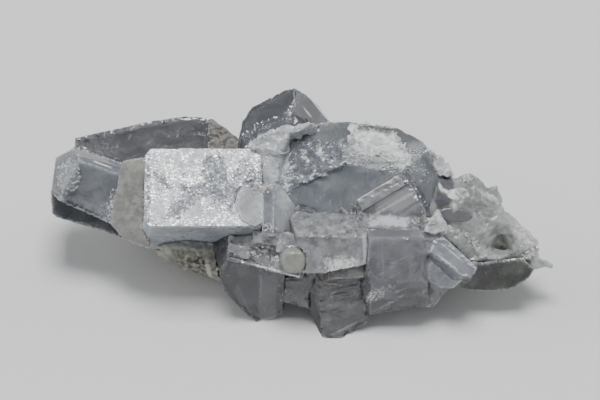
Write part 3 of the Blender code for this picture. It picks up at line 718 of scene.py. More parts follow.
left_skin = clear_skin("left block", (0.25, 0.26, 0.275), (0.40, 0.41, 0.425), milky=0.2)
blotch(left_skin, (-58, 40.5), (3.2, 4.6), (0.25, 0.265, 0.275), 0.2, 0.3, turn=-10, ragged=0.3, soft=0.3)
streaks(left_skin, 0.3, [(-52, 33.0, 11, 1.6, -22, 0.9, 0.5, (0.36, 0.37, 0.385))], soft=1.2)
blotch(
    left_skin, (-49.5, 44.9, 0.5), (7, 1, 1.6), (0.31, 0.31, 0.30), 0.1, 0.4, turn=-15, ragged=0.2,
    square=True, soft=0.2,
)
blotch(left_skin, (-49.4, 43.4, 1), (3, 0.3, 2), WHITE, 0.1, turn=-20, ragged=0.3, square=True)
blotch(left_skin, (-47.5, 31), (4, 4), (0.55, 0.56, 0.57), 0.1, flecks=0.45, amount=0.7)
left_milk = ((0.25, 0.265, 0.285), (0.42, 0.435, 0.45))
left_block = clear_crystal("barite_left_block", left_skin, left_milk, nick=0.06, slant=-25)
netted = grain_finish("netted cap", (0.30, 0.315, 0.325), (0.55, 0.56, 0.57), 0.15, 1.2)


def is_capped(at, look):
    """The rounded white patch on the free end, in strands."""
    inside = 1 - hypot((at.x + 58) / 3.2, (at.y - 40.5) / 4.6)
    return (inside > 0) * (look.z > 0) * max(0, 0.22 - abs(noise.noise(at / 1.3)))


def is_chipped(at, look):
    """The lower right corner of the left block."""
    return (look.z > 0.3) * max(0, 1 - hypot((at.x + 46.3) / 2.2, (at.y - 32.5) / 5))


sprinkle(
    "netted_cap", left_block, 900, 0.3, is_capped, 31, netted, tilt=14, spin=60, thin=0.5, sink=0.35,
    sway=20,
)
chips = grain_finish("bright chips", (0.5, 0.51, 0.53), (0.8, 0.81, 0.82), 0.1, 2)
sprinkle(
    "left_chips", left_block, 160, 0.3, is_chipped, 32, chips, tilt=8, spin=60, thin=0.2, sink=0.4, sway=24,
)


# --- cream calcite ---
# A flat slab between the left crystals and the frosted block, a cap on the long tablet, and a
# small rounded bead low on the front. The calcite is dull, waxy and stained a little brown.

wedge = grown("calcite_wedge", crisp=False, cover=0.3)
roughen(wedge, 4, 0.6)
roughen(wedge, 1.2, 0.35)
wedge_finish = stone_finish(
    "cream slab", (0.225, 0.222, 0.21), (0.35, 0.35, 0.335), polish=0.35, drift=2.5, milky=0.9, flecked=0.6,
    relief=0.9, wisps=0.7,
)
blotch(
    wedge_finish, (-41, 33), (3.0, 7), (0.17, 0.16, 0.13), turn=10, soft=1.2, grain=2.0, ragged=1.0,
    flecks=1.3, amount=0.8,
)
blotch(wedge_finish, (-41, 43), (4, 1.5), (0.36, 0.355, 0.33), ragged=0.6)
seat(wedge, wedge_finish)

upper_cap = grown("calcite_upper_cap", crisp=False, cover=0.35)
roughen(upper_cap, 2.5, 0.8)
roughen(upper_cap, 0.9, 0.4)
cap_finish = stone_finish(
    "brown stained calcite", (0.105, 0.102, 0.092), (0.205, 0.20, 0.187), polish=0.5, drift=2, relief=0.9,
)
blotch(cap_finish, (-20, 50.5), (3, 4.2), (0.06, 0.055, 0.04), soft=1, flecks=1.2, grain=1.5)
blotch(cap_finish, (-23.3, 50.5), (0.7, 5), (0.42, 0.42, 0.40), ragged=0.4)
seat(upper_cap, cap_finish)

BEAD_MIDDLE = 19.5
BEAD_LEFT = -2
bead = grown("calcite_bead", crisp=False, cover=0.3)
for vertex in bead.data.vertices:
    place = TO_STONE @ vertex.co
    squeeze = 0.66 if place.y > BEAD_MIDDLE else 0.92
    place.y = BEAD_MIDDLE + squeeze * (place.y - BEAD_MIDDLE)
    place.x = max(place.x, BEAD_LEFT + 0.9 * (place.x - BEAD_LEFT))
    vertex.co = FROM_STONE @ place
modify(bead, "REMESH", mode="VOXEL", voxel_size=0.7 * MM)
modify(bead, "SMOOTH", factor=0.8, iterations=10)
modify(bead, "SUBSURF", levels=2)
roughen(bead, 1.5, 0.3)
roughen(bead, 0.5, 0.08)
bead_finish = stone_finish("cream bead", (0.27, 0.267, 0.242), (0.355, 0.35, 0.32), polish=0.25, drift=3)
seat(bead, bead_finish)


# --- long tablet ---
# A long barite tablet behind the left side, clear and lilac grey towards its right, with white
# flecks and streaks at its left end.

tablet_skin = clear_skin(
    "long tablet", (0.22, 0.223, 0.232), (0.32, 0.323, 0.335), milky=0.15, along=(1, 4, 1), turn=-80,
    wisps=0.2, flecked=0.1, worn=0.25,
)
blotch(tablet_skin, (-50, 48), (8, 4), WHITE, 0.2, flecks=0.35, amount=0.35)
streaks(tablet_skin, 0.2, [
    (-49.5, 51, 0.2, 2.6, 5, 0.9, 0.5, WHITE),
    (-43, 50.5, 0.25, 2, -30, 0.9, 0.5, WHITE),
    (-38, 49, 0.22, 1.2, -50, 0.9, 0.5, WHITE),
])
tablet_milk = ((0.10, 0.102, 0.108), (0.21, 0.213, 0.222))
clear_crystal("barite_upper_plate", tablet_skin, tablet_milk, nick=0.1, wisps=0.1, drift=8)


# --- frosted block ---
# The large square barite crystal. Its display face is covered with a sugar of tiny parallel barite
# blocks, its underside is smooth and glassy.

FROST_FACING = Vector((0, 0.342, 0.940))


def is_frosted(at, look):
    """The display face of the frosted block, but for a thin clear rim on its left."""
    return look.dot(FROST_FACING) > 0.93 and -38.0 < at.x < -9.9


frosted = grown("barite_frosted_block")
weigh(frosted, "face", is_frosted)
roughen(frosted, 3.5, 0.4, group="face")
roughen(frosted, 0.9, 0.12, group="face")
weather(frosted)

FROST_GREY = (0.20, 0.22, 0.25)
# blue-grey bands of the frosted face, partly its own tone and partly painted shade: x, y, half length, half
# width, turn, share
STAIN_AND_SHADE_BANDS = [
    (-13.6, 40.4, 3.8, 3.6, 0, 0.5),
    (-17.2, 35.8, 6.4, 3.4, -10, 0.8),
    (-21, 41, 2.6, 5, 12, 0.95),
    (-28.2, 34.2, 6.8, 1.6, 38, 1),
    (-25, 37, 4.4, 1.5, 0, 0.9),
    (-34.1, 39.4, 2.4, 1, -45, 0.8),
    (-37.6, 37.5, 0.5, 9, 0, 0.6),
    (-11.9, 38.9, 1.7, 1, 0, 1),
]


def stain_and_shade(at):
    """How far a place on the frosted face lies in one of the blue-grey bands and spots, which are partly the
    face's own tone and partly painted shade where its grains catch no light.
    """
    most = 0.0
    for x, y, long, wide, turn, share in STAIN_AND_SHADE_BANDS:
        away = Matrix.Rotation(-radians(turn), 2) @ Vector((at.x - x, at.y - y))
        reach = hypot(away.x / long, away.y / wide)
        reach += 0.6 * noise.noise(at / 2.5) + 0.3 * noise.noise(at / 0.9)
        most = max(most, share * min(1.0, max(0.0, (1.35 - reach) / 0.75)))
    return most


def is_bright_frost(at, look):
    """The white part of the frosted face."""
    return is_frosted(at, look) * (1 - stain_and_shade(at)) ** 2


def is_grey_frost(at, look):
    """The blue-grey bands of the frosted face, partly its own tone and partly painted shade, with a few grey
    grains everywhere.
    """
    return is_frosted(at, look) * (0.015 + stain_and_shade(at))


frosted_skin = clear_skin(
    "frosted block", (0.54, 0.565, 0.59), (0.66, 0.68, 0.70), milky=0.3, flecked=0.1, wisps=0.6,
    along=(1, 5, 1), turn=90,
)
blotch(
    frosted_skin, (-24, 40.3, 7.2), (13.6, 12.4, 5), (0.60, 0.62, 0.65), clear=0.05, polish=0.3,
    square=True, ragged=0.04, soft=0.04, grain=0.8,
)
# the bands on the clear skin under the grains, partly its own tone and partly painted shade
for x, y, long, wide, turn, share in STAIN_AND_SHADE_BANDS:
    blotch(
        frosted_skin, (x, y), (1.9 * long, 1.9 * wide), FROST_GREY, 0.1,
        turn=turn, soft=0.7, ragged=0.4, amount=share,
    )
seal(frosted, frosted_skin, ((0.58, 0.61, 0.64), (0.70, 0.72, 0.74)))

frost = grain_finish("frost", (0.72, 0.74, 0.77), (0.99, 0.99, 1.0), 0.08, 1.6)
frost.node_tree.nodes["Principled BSDF"].inputs["IOR"].default_value = 2.2
sprinkle(
    "frost", frosted, 12000, 0.28, is_bright_frost, 3, frost, facing=FROST_FACING, tilt=7, thin=0.5,
    sink=0.5, sway=26,
)
# grey grains in the bands: partly the face's own tone, partly painted shade
dull_frost = grain_finish("grey frost", (0.20, 0.213, 0.238), (0.44, 0.46, 0.49), 0.12, 0.8)
sprinkle(
    "grey_frost", frosted, 5500, 0.3, is_grey_frost, 4, dull_frost, facing=FROST_FACING, tilt=7, thin=0.5,
    sink=0.45, sway=26,
)


# --- milky filling ---
# White calcite, cloudy as wax, that fills the gap between the frosted block and the main crystal
# and runs up over their shoulders in a ragged crest.

def press(piece, under, share, reach=3.5):
    """Lays a crust down on the nodes under it, to a share of the height at which it stands over them."""
    tree = tree_of([frame["nodes"][name] for name in under])
    for vertex in piece.data.vertices:
        place = TO_STONE @ vertex.co
        ground = on_show_side(place.x, place.y, tree)
        if ground and 0 < place.z - ground[0].z < reach:
            place.z = ground[0].z + share * (place.z - ground[0].z)
            vertex.co = FROM_STONE @ place


def fray(piece, size, depth):
    """Pushes a crust to and fro in the plane of the show side, so that its outline is ragged."""
    for vertex in piece.data.vertices:
        place = TO_STONE @ vertex.co
        place.x += depth * noise.noise(place / size)
        place.y += depth * noise.noise(place / size + Vector((31, 17, 5)))
        vertex.co = FROM_STONE @ place


main_node = frame["nodes"]["barite_main_crystal"]
filling = grown("calcite_cloudy_filling", crisp=False, cover=0.35)
fray(filling, 2.5, 1.5)
fray(filling, 0.9, 0.5)
press(filling, ["barite_main_crystal", "barite_frosted_block"], 0.12, reach=5)
modify(filling, "SMOOTH", factor=0.7, iterations=4)
roughen(filling, 4, 0.6)
roughen(filling, 1.3, 0.45)
roughen(filling, 0.6, 0.28)
for vertex in filling.data.vertices:
    # right of x = -3 and under the crest, the filling dives under the main crystal
    place = TO_STONE @ vertex.co
    crest = 49.6 + 0.28 * (place.x + 3)
    past = min(place.x + 3.0, crest - place.y) + 0.8 * noise.noise(place / 1.6)
    if past > 0:
        place.z -= min(3.5, 1.2 * past)
        vertex.co = FROM_STONE @ place
filling_finish = stone_finish(
    "milky calcite", (0.35, 0.365, 0.38), (0.56, 0.575, 0.585), polish=0.3, drift=4, milky=0.9, depth=1,
    flecked=0.5, wisps=1.0, glow=0.7, along=(1, 4, 1), worn=0,
)
blotch(filling_finish, (-6, 50.5), (16, 5), (0.34, 0.355, 0.37), ragged=0.7, amount=0.7)
seat(filling, filling_finish)


def is_sugary(at, look):
    """Clouded patches of the filling's upper part."""
    return (look.z > 0.3) * (at.y > 44) * max(0, noise.noise(at / 2.5) + 0.25)


sugar = grain_finish("white sugar", (0.42, 0.435, 0.45), (0.70, 0.71, 0.72), 0.12, 3)
sprinkle(
    "filling_sugar", filling, 2600, 0.27, is_sugary, 11, sugar, tilt=8, thin=0.25, sink=0.42, sway=24,
    spin=40,
)
crust("filling_crest", filling, [
    [(-13, 47.8, 0.2), (-10.8, 49.5, 0.3), (-6.5, 51.6, 0.4), (-2.9, 52, 0.4), (2.6, 53, 0.3),
     (7, 53.6, 0.3)],
], 0.5, sugar, 12, crowd=0.7, tilt=20, spin=60, thin=0.6, sway=20, ground=[filling, main_node])


# --- small clear ends ---
# Two little barite crystals on the right edge of the frosted block: a rounded milky stub and an
# upright prism with a clear heart and a white foot.

stub_skin = stone_finish(
    "milky stub", (0.42, 0.43, 0.44), (0.60, 0.61, 0.62), 0.6, 0.12, drift=3, depth=3, dense=20,
)
blotch(stub_skin, (-12.6, 38.4), (1.4, 1), (0.27, 0.29, 0.31), 0.8, square=True, ragged=0.2, soft=0.2)
stub_milk = ((0.46, 0.465, 0.475), (0.60, 0.605, 0.61))
small_crystal("barite_small_stub", stub_skin, stub_milk, nick=0.1)

prism_skin = clear_skin("small prism", clear=0.8, milky=0.4, along=(1, 4, 1))
blotch(prism_skin, (-3.5, 33), (2.6, 7), (0.33, 0.342, 0.355), 0.1, square=True, ragged=0.2, soft=0.2)
blotch(prism_skin, (-4.2, 34), (2.6, 6), (0.56, 0.57, 0.58), 0.1, ragged=1.1, grain=1.2, soft=0.9, amount=0.8)
blotch(prism_skin, (-9.3, 32), (0.35, 4.5), WHITE, 0.1, square=True, ragged=0.3)
prism_milk = ((0.26, 0.275, 0.29), CLOUD_PALE)
prism = small_crystal("barite_small_prism", prism_skin, prism_milk, 0.9, nick=0.1)
white_fluff = stone_finish(
    "white fluff", (0.62, 0.63, 0.64), (0.80, 0.81, 0.81), polish=0.4, drift=2, milky=1, depth=1, worn=0,
)
crust("white_fluff", prism, [
    [(-12.2, 37.2, 0.9), (-10.5, 37.4, 1.2), (-8.6, 37.2, 1), (-9.3, 36, 0.8)],
    [(-8.8, 27.8, 0.9), (-6.8, 27.4, 1.1)],
], 0.5, white_fluff, 12, tilt=40, spin=90, thin=0.8)


# --- peak crystal ---
# The pointed grey barite crystal at the top, with a second layer grown parallel on its front and
# bright broken ridges; a painted highlight sits where the layer's ridge meets the top and painted shade on
# the right facet.

peak_skin = clear_skin(
    "peak", SMOKY, SMOKY_PALE, milky=0.2, turn=-60, along=(1, 5, 1), dense=100, wisps=0.3, worn=0.2,
)
blotch(peak_skin, (-1.4, 59.8), (0.25, 2.8), PALE_GREY, 0.2, turn=5, ragged=0.5)
# painted shade: the right facet of the peak is darkened
blotch(peak_skin, (2.6, 57), (4.4, 7), (0.06, 0.063, 0.07), 0.3, ragged=0.3, soft=0.4)
blotch(peak_skin, (2, 56.5), (0.35, 2.6), WHITE, 0.1, turn=38, ragged=0.4)
# painted highlight: white flecks at the top of the layer's ridge
blotch(peak_skin, (-3, 56.3), (2.2, 1), WHITE, 0.2, turn=30, ragged=0.6, flecks=0.5, amount=0.6)
clear_crystal(
    "barite_peak_crystal", peak_skin, ((0.11, 0.117, 0.13), (0.20, 0.21, 0.225)), slant=30, inset=0.25,
    hollows=1, wisps=0.6, along=(1, 5, 1), turn=-60,
)


# --- main crystal ---
# The largest barite crystal: one broad smooth face, an etched sparkling slope above it on the left,
# a smooth band along the top and healed cracks that shine white inside its right side.

main = grown("barite_main_crystal")
weather(main, swell=0.04, terrace=0.02)
main_skin = clear_skin(
    "main crystal", (0.235, 0.247, 0.262), (0.36, 0.37, 0.385), milky=0.2, flecked=0.05, drift=9, worn=0.3,
)
blotch(
    main_skin, (29, 41.5), (3.6, 4.8), (0.42, 0.43, 0.45), 0.3, turn=20, amount=0.5, ragged=1.2, soft=1.0,
    grain=1.5,
)
blotch(main_skin, (27.8, 43.4), (1.8, 0.9), WHITE, 0.1, turn=-30, ragged=0.9, flecks=0.5)
blotch(main_skin, (20, 51.5), (22, 6), (0.13, 0.137, 0.147), 0.2, 0.8, ragged=0.3)
blotch(main_skin, (3.8, 48.4), (2, 0.5), WHITE, 0.1, turn=15, ragged=0.5)
blotch(main_skin, (0.3, 48), (1.8, 0.5), WHITE, 0.1, turn=12, ragged=0.5)
main_milk = ((0.25, 0.265, 0.283), (0.38, 0.39, 0.405))
seal(main, main_skin, main_milk, drift=9, milky=0.4, wisps=0.1)


def is_etched(at, look):
    """The etched slope at the upper left of the main crystal, thinning out towards its edges."""
    ragged = 2.2 * noise.noise(at / 1.7)
    inside = min((at.y - 38.0 - 0.5 * at.x + ragged) / 1.5, (11.5 - at.x + ragged) / 3, (49.5 - at.y) / 2)
    return max(0, min(1, inside)) * (look.z > 0.5)


def is_cracked(at, look):
    """The place inside the right shoulder where old cracks have healed."""
    return max(0, 1 - hypot((at.x - 29.3) / 4, (at.y - 41.5) / 4.5))


etched = grain_finish("etched sugar", (0.16, 0.171, 0.187), (0.31, 0.328, 0.352), 0.08, 1.3, 0.9, glow=0.3)
sprinkle(
    "etched_sugar", main, 3600, 0.27, is_etched, 5, etched, tilt=4, thin=0.2, sink=0.45, sway=12, spin=14,
    turn=33, stretch=3,
)
cracks = grain_finish("healed cracks", (0.42, 0.43, 0.45), (0.72, 0.73, 0.75), 0.1, 2)
sprinkle(
    "healed_cracks", main, 160, 0.22, is_cracked, 6, cracks, tilt=5, spin=60, thin=0.1, sink=0.42, sway=24,
)
crust("main_chips", main, [
    [(23, 43.4, 0.4), (25.5, 41.7, 0.5)],
    [(18.5, 43.2, 0.2), (21, 42.3, 0.4)],
    [(26, 41.5, 0.25), (27.6, 41, 0.3)],
], 0.35, white_fluff, 16, tilt=25, spin=60, crowd=0.5)


# --- white calcite crusts ---
# Dull white calcite that grew last: a ragged patch on the top edge of the main crystal, a slip down
# its right shoulder and a thin flake on the corner of the block below.

chalky = stone_finish(
    "white calcite", (0.52, 0.53, 0.525), (0.80, 0.81, 0.805), polish=0.4, drift=2, milky=1, depth=1,
    glow=0.5, worn=0,
)
slip_finish = stone_finish(
    "pale slip", (0.36, 0.37, 0.375), (0.56, 0.57, 0.57), polish=0.3, drift=2, milky=1, glow=0.7, worn=0,
)
flake_finish = stone_finish(
    "greyish calcite", (0.36, 0.365, 0.36), (0.58, 0.585, 0.575), polish=0.4, drift=1.6, milky=1, depth=1,
)


def calcite_crust(node_name, finish):
    """A thin ragged crust laid on the main crystal."""
    piece = grown(node_name, cell=0.25, cover=0.05, crisp=False)
    fray(piece, 2.2, 1.7)
    fray(piece, 1.1, 0.4)
    press(piece, ["barite_main_crystal"], 0.2)
    roughen(piece, 1.8, 0.45)
    roughen(piece, 0.6, 0.3)
    seat(piece, finish)
    return piece


patch = calcite_crust("calcite_crust_patch", chalky)
crust("patch_rim", patch, [
    [(13, 52.5, 0.5), (22, 52.5, 0.5), (24.5, 50.5, 0.5), (24.8, 48.5, 0.6), (27, 45, 0.6), (26, 44, 0.7)],
    [(10.3, 49.5, 0.3), (13, 49.3, 0.5), (16.5, 47.6, 0.7), (20, 46.3, 0.8), (24, 44.5, 0.9), (26, 44, 0.7)],
    [(13, 52, 0.6), (13, 49.5, 0.5)],
], 0.45, chalky, 14, crowd=0.5, tilt=20, spin=90, thin=0.5, ground=[patch, main_node])
calcite_crust("calcite_shoulder_sliver", slip_finish)
calcite_crust("calcite_shoulder_flake", flake_finish)


# --- middle blocks ---
# Two square barite blocks side by side. The left one has a rough ledge along its top and turns white
# towards its lower edge; the right one carries a pale sloping shelf above a white band.

centre = grown("barite_centre_block")
roughen(centre, 3, 0.5)
roughen(centre, 1.2, 0.2)
weather(centre)
centre_skin = clear_skin(
    "centre block", (0.28, 0.285, 0.293), (0.40, 0.405, 0.413), clear=0.6, polish=0.22, milky=0.8, drift=3,
    relief=0.9, worn=0.12, wisps=0.8, along=(1, 3, 1),
)
blotch(
    centre_skin, (10.4, 17.4), (6, 3.6), (0.78, 0.79, 0.79), 0, soft=0.8, grain=0.7, ragged=0.9,
    square=True,
)
blotch(centre_skin, (10, 23), (3.5, 2), (0.42, 0.415, 0.38), 0.3, flecks=1.0, grain=1.2, amount=0.5)
blotch(centre_skin, (16, 21.5, 9), (0.6, 6.5, 4), (0.48, 0.485, 0.49), 0.1, ragged=0.4, turn=3, soft=0.6)
centre_milk = ((0.28, 0.285, 0.30), (0.39, 0.395, 0.405))
seal(centre, centre_skin, centre_milk, inset=0.25, hollows=0.9)
ledge_finish = stone_finish(
    "rough ledge", (0.21, 0.217, 0.23), (0.36, 0.367, 0.38), 0, 0.15, drift=2.5, milky=0.8, relief=0.9,
    worn=0,
)
crust("ledge", centre, [
    [(-3.5, 29.2, 1.2), (0, 31, 1.5), (4, 30, 2), (8, 28.5, 1.8), (12, 30, 2.2), (15.3, 33, 1.2)],
    [(-2, 27, 1.8), (4, 27, 2.2), (12, 27, 2.2), (15, 29, 1.2)],
], 0.9, ledge_finish, 17, crowd=0.5, tilt=5, spin=20, thin=0.3, sink=0.35, sway=16)

right_skin = clear_skin(
    "right block", (0.25, 0.255, 0.268), (0.38, 0.385, 0.40), milky=0.3, turn=-62, along=(1, 5, 1),
    wisps=0.7, worn=0.12,
)
streaks(right_skin, 0.2, [
    (22, 34, 6, 0.25, 32, 0.7, 1, (0.5, 0.5, 0.5)),
    (25, 32.5, 5, 0.2, 29, 0.7, 1, (0.5, 0.5, 0.5)),
])
blotch(
    right_skin, (22.3, 29.2, 6.5), (8, 2, 2.4), (0.60, 0.61, 0.615), 0.05, 0.35, soft=0.8, ragged=0.7,
    grain=1.5, square=True, turn=-2,
)
blotch(right_skin, (22.7, 26.3, 8), (5.6, 1, 2), (0.17, 0.175, 0.185), 0.3, square=True, soft=0.2, ragged=0.1)
blotch(right_skin, (24, 34.5), (9, 5), (0.31, 0.317, 0.325), 0.35, ragged=0.3)
streaks(right_skin, 0.2, [
    (21.5, 32.6, 7, 0.5, 30, 0.7, 1, (0.44, 0.45, 0.455)),
    (25.5, 34.8, 6, 0.6, 30, 0.7, 1, (0.44, 0.45, 0.455)),
])
blotch(right_skin, (27.5, 33), (5, 0.5), (0.18, 0.185, 0.195), 0.4, turn=32, ragged=0.7)
# painted glints: white flecks at the lower left of the block
blotch(right_skin, (18.4, 10.8), (3.6, 1.7), WHITE, 0, flecks=0.35, turn=32, ragged=0.8)
streaks(right_skin, 0.2, [(22, 12.5, 6, 1.1, 30, 0.9, 0.7, (0.46, 0.47, 0.48))], flecks=0.7)
streaks(right_skin, 0.4, [(27.5, 19, 1.6, 7, 0, 0.8, 0.7, (0.36, 0.37, 0.38))], soft=1.2)
streaks(right_skin, 0.2, [(23, 9.3, 6, 0.5, 30, 0.9, 0.7, (0.42, 0.43, 0.44))], flecks=0.9)
streaks(right_skin, 0.3, [
    (20.5, 19.5, 0.3, 9, 2, 1.2, 0.3, (0.34, 0.345, 0.36)),
    (23.5, 16, 7, 0.3, 28, 0.8, 0.5, (0.38, 0.385, 0.40)),
])
right = clear_crystal(
    "barite_right_block", right_skin, ((0.25, 0.255, 0.268), (0.36, 0.365, 0.38)), slant=30, turn=-62,
    along=(1, 5, 1), wisps=0.6,
)
shelf_finish = stone_finish(
    "pale bar", (0.25, 0.255, 0.262), (0.34, 0.345, 0.35), 0.3, 0.15, milky=0.8, drift=4, worn=0, wisps=0.2,
)
slab("shelf_bar", right, (20.0, 36.2), (12.6, 3.3, 1.3), shelf_finish, turn=32, rough=0.14)
bed_finish = stone_finish(
    "bar bed", (0.20, 0.205, 0.215), (0.36, 0.365, 0.375), 0.3, 0.15, milky=0.9, drift=3, worn=0, wisps=1.0,
    along=(1, 6, 1), turn=-58,
)
slab(
    "bar_bed", right, (32.2, 24.6, 4.5), (4.6, 7.5, 6.0), bed_finish, turn=10, facing=(0.2, 0.1, 0.97),
    rough=0.5,
)
crust("shelf_edges", right, [
    [(15.2, 32.5, 0.7), (17, 31.5, 0.8)],
    [(26, 39.5, 0.8), (29.5, 37, 1), (31, 33, 0.9), (29, 30, 0.9)],
    [(16.3, 30, 0.35), (29, 29.7, 0.35)],
], 0.5, ledge_finish, 18, tilt=10, spin=25, turn=30, crowd=0.35, thin=0.35, sink=0.35)
crust("corner_crust", right, [
    [(28, 29.5, 0.7), (31, 28.5, 0.9), (34, 29.5, 0.8)],
    [(31, 27.5, 0.6), (33, 31, 0.7)],
], 0.6, flake_finish, 19, tilt=30, spin=60, crowd=0.7)


# --- bar crystal ---
# A bar-shaped barite crystal lying across the right side. Its upper face glitters and its long lower
# edge carries a painted highlight.

bar_skin = clear_skin("bar crystal", clear=0.8, milky=0.4, along=(1, 6, 1), turn=51, wisps=0.9)
# painted highlight along the bar's long lower edge
blotch(bar_skin, (36.2, 19.3), (5.5, 0.35), WHITE, 0.1, turn=-38, ragged=0.4)
blotch(bar_skin, (37.5, 21.6), (5, 0.25), WHITE, 0.1, turn=-40, ragged=0.6)
bar_milk = ((0.36, 0.37, 0.385), CLOUD_PALE)
bar = small_crystal("barite_rod", bar_skin, bar_milk, nick=0.15)


def is_glittering(at, look):
    """Patches of the bar's upper face."""
    return (look.y > 0.3 and look.z > 0.3) * max(0, noise.noise(at / 1.5) + 0.2)


sprinkle("bar_sugar", bar, 420, 0.22, is_glittering, 7, cracks, tilt=5, thin=0.4)


# --- right mass ---
# White granular calcite at the right end, in several lumps grown together with a hole near the tip,
# and a dark clear barite plate under it.

HOLE_X = 50.4
HOLE_Y = 23.4
HOLE_WIDTH = 1.1
HOLE_CORNERS = ((0, -1), (0.87, 0.5), (-0.87, 0.5))
SPUR = 61.5


def lilac_reach(at, half_width):
    """How far a place is from the middle of the smooth lilac face, as a share of its half size."""
    return hypot((at.x - 35.4) / half_width, (at.y - 37.5) / 6.5)


def granular(at, look):
    """The rough part of the mass: not round the hole, on the lilac face or on the spur."""
    off_hole = (hypot(at.x - HOLE_X, at.y - HOLE_Y) - 1.0) / 1.5
    off_lilac = max(0.25, (lilac_reach(at, 3.2) - 0.8) / 0.4)
    return min(off_hole, off_lilac, (SPUR - at.x) / 2)


mass = grown("calcite_right_mass", cell=0.28, crisp=False, cover=0.1)
weigh(mass, "granular", granular)
for vertex in mass.data.vertices:
    place = TO_STONE @ vertex.co
    way = Vector((place.x - HOLE_X, place.y - HOLE_Y))
    reach = max(0.3, way.length)
    side = max(way.dot(Vector(corner)) / reach for corner in HOLE_CORNERS)
    wide = hypot(reach, HOLE_WIDTH / side * max(0, 1 - reach / 5)) / reach
    vertex.co = FROM_STONE @ Vector((HOLE_X + way.x * wide, HOLE_Y + way.y * wide, place.z))
weigh(mass, "lilac face", lambda at, look: (1.3 - lilac_reach(at, 3.4)) / 0.4)
modify(mass, "SMOOTH", factor=0.9, iterations=40, vertex_group="lilac face")
roughen(mass, 4, 1.2, group="granular")
roughen(mass, 2.4, 0.7, group="granular", basis="VORONOI_F1", octaves=1)
roughen(mass, 0.9, 0.3, group="granular", basis="VORONOI_F1", octaves=1)
roughen(mass, 0.5, 0.1, group="granular")
mass_finish = stone_finish(
    "granular calcite", (0.29, 0.295, 0.29), (0.42, 0.425, 0.415), polish=0.3, drift=4, milky=0.9,
    flecked=0.4, depth=4, worn=0.3, wisps=0.8,
)
blotch(mass_finish, (56, 25.5), (3.2, 5), (0.58, 0.59, 0.575), turn=30, ragged=0.7, grain=1.5)
blotch(mass_finish, (45, 36), (9, 8), (0.21, 0.213, 0.21), soft=0.8, ragged=0.4)
blotch(mass_finish, (48, 35), (5, 1), (0.52, 0.53, 0.51), turn=-30, ragged=0.9, grain=1.5)
blotch(mass_finish, (35.6, 37.5), (3.4, 6.5), (0.125, 0.125, 0.135), polish=0.2, soft=0.3, ragged=0.2)
seat(mass, mass_finish)
white_grains = grain_finish("white grains", (0.42, 0.425, 0.415), (0.62, 0.625, 0.61), 0.3, 2)
crust("white_lumps", mass, [
    [(54, 27.5, 1), (56.5, 25, 1.4), (58, 21, 1.2), (56, 19.5, 1)],
    [(40, 39.5, 0.5), (46, 40.3, 0.6), (50, 37, 0.5), (54, 32.5, 0.6), (58, 27.5, 0.5), (60, 22, 0.6),
     (61.5, 18.7, 0.3)],
    [(43, 19.3, 0.8), (46, 20, 1), (49, 20, 0.6)],
    [(36, 27.5, 0.6), (41, 26, 0.8), (44, 23, 0.7)],
], 0.8, white_grains, 22, crowd=0.6, tilt=30, spin=60, thin=0.7)

bpy.ops.mesh.primitive_cylinder_add(vertices=64, radius=1, depth=1)
oval = bpy.context.object
oval.name = "oval_crystal"
place, look = on_show_side(38.6, 30.8)
place.z -= 0.5
turned = Matrix.Rotation(radians(-4), 4, "Z")
oval.data.transform(FROM_STONE @ Matrix.Translation(place) @ turned @ Matrix.Diagonal((4.5, 1.8, 1.4, 1)))
modify(oval, "BEVEL", width=0.4 * MM, segments=3)
modify(oval, "REMESH", mode="VOXEL", voxel_size=0.2 * MM)
roughen(oval, 2, 0.15)
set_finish(oval, "barite_lens_plate")
oval_skin = clear_skin("oval crystal", (0.25, 0.252, 0.26), (0.38, 0.382, 0.39), clear=0.4, milky=0.4)
seat(oval, oval_skin)

lens_skin = stone_finish(
    "clear plate", (0.06, 0.065, 0.058), (0.15, 0.16, 0.145), 0.75, 0.12, along=(1, 5, 1), dense=120,
    wisps=0.9,
)
lens_milk = ((0.05, 0.054, 0.047), (0.16, 0.168, 0.15))
small_crystal("barite_lens_plate", lens_skin, lens_milk, along=(1, 5, 1), wisps=0.9)


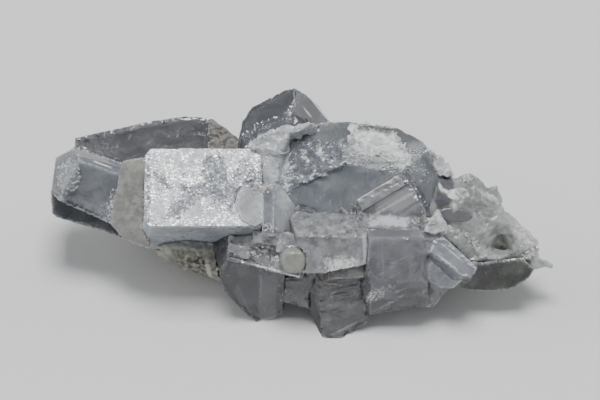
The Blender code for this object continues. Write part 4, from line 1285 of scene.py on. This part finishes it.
# --- floor, light and camera ---
# A plain pale table top, a large soft box overhead and three soft panels round the stone.

bpy.ops.mesh.primitive_circle_add(vertices=128, radius=4, fill_type="NGON", location=(0, 0, 0))
floor = bpy.context.object
floor.name = "floor"
floor_finish = bpy.data.materials.new("pale floor")
floor_finish.use_nodes = True
floor_shader = floor_finish.node_tree.nodes["Principled BSDF"]
floor_shader.inputs["Base Color"].default_value = (0.72, 0.72, 0.71, 1)
floor_shader.inputs["Roughness"].default_value = 0.7
floor.data.materials.append(floor_finish)
floor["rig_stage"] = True


def soft_box(name, place, aim, width, height, power):
    """A rectangular soft light that faces a point."""
    bpy.ops.object.light_add(type="AREA", location=place)
    light = bpy.context.object
    light.name = name
    light.data.shape = "RECTANGLE"
    light.data.size = width
    light.data.size_y = height
    light.data.energy = power
    light.rotation_euler = (Vector(aim) - Vector(place)).to_track_quat("-Z", "Y").to_euler()


CENTRE = (0, 0, 0.02)
soft_box("overhead", (0, 0.14, 1.2), CENTRE, 0.55, 0.45, 15)
soft_box("left panel", (-1.2, 0.2, 0.5), CENTRE, 0.9, 0.9, 8)
soft_box("right panel", (1.2, 0.3, 0.5), CENTRE, 0.9, 0.9, 6)
soft_box("low front", (0, -1.3, 0.25), CENTRE, 1.4, 0.4, 3)

world = bpy.data.worlds.new("studio")
world.use_nodes = True
sky = world.node_tree.nodes["Background"]
sky.inputs["Color"].default_value = (0.9, 0.93, 1.0, 1)
sky.inputs["Strength"].default_value = 0.28
bpy.context.scene.world = world

LOOK_AT = Vector((-0.381, -4.286, 24.395)) * MM
DISTANCE = 0.8333
TOWARDS_CAMERA = Vector((0, -sin(LEAN), cos(LEAN)))
bpy.ops.object.camera_add(location=LOOK_AT + TOWARDS_CAMERA * DISTANCE, rotation=(LEAN, 0, 0))
camera = bpy.context.object
camera.data.sensor_width = 36
camera.data.lens = 200
camera.data.clip_start = 0.01
bpy.context.scene.camera = camera

low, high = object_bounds()
sizes = {"cad": [list(cad_low), list(cad_high)], "visual": [list(low), list(high)]}
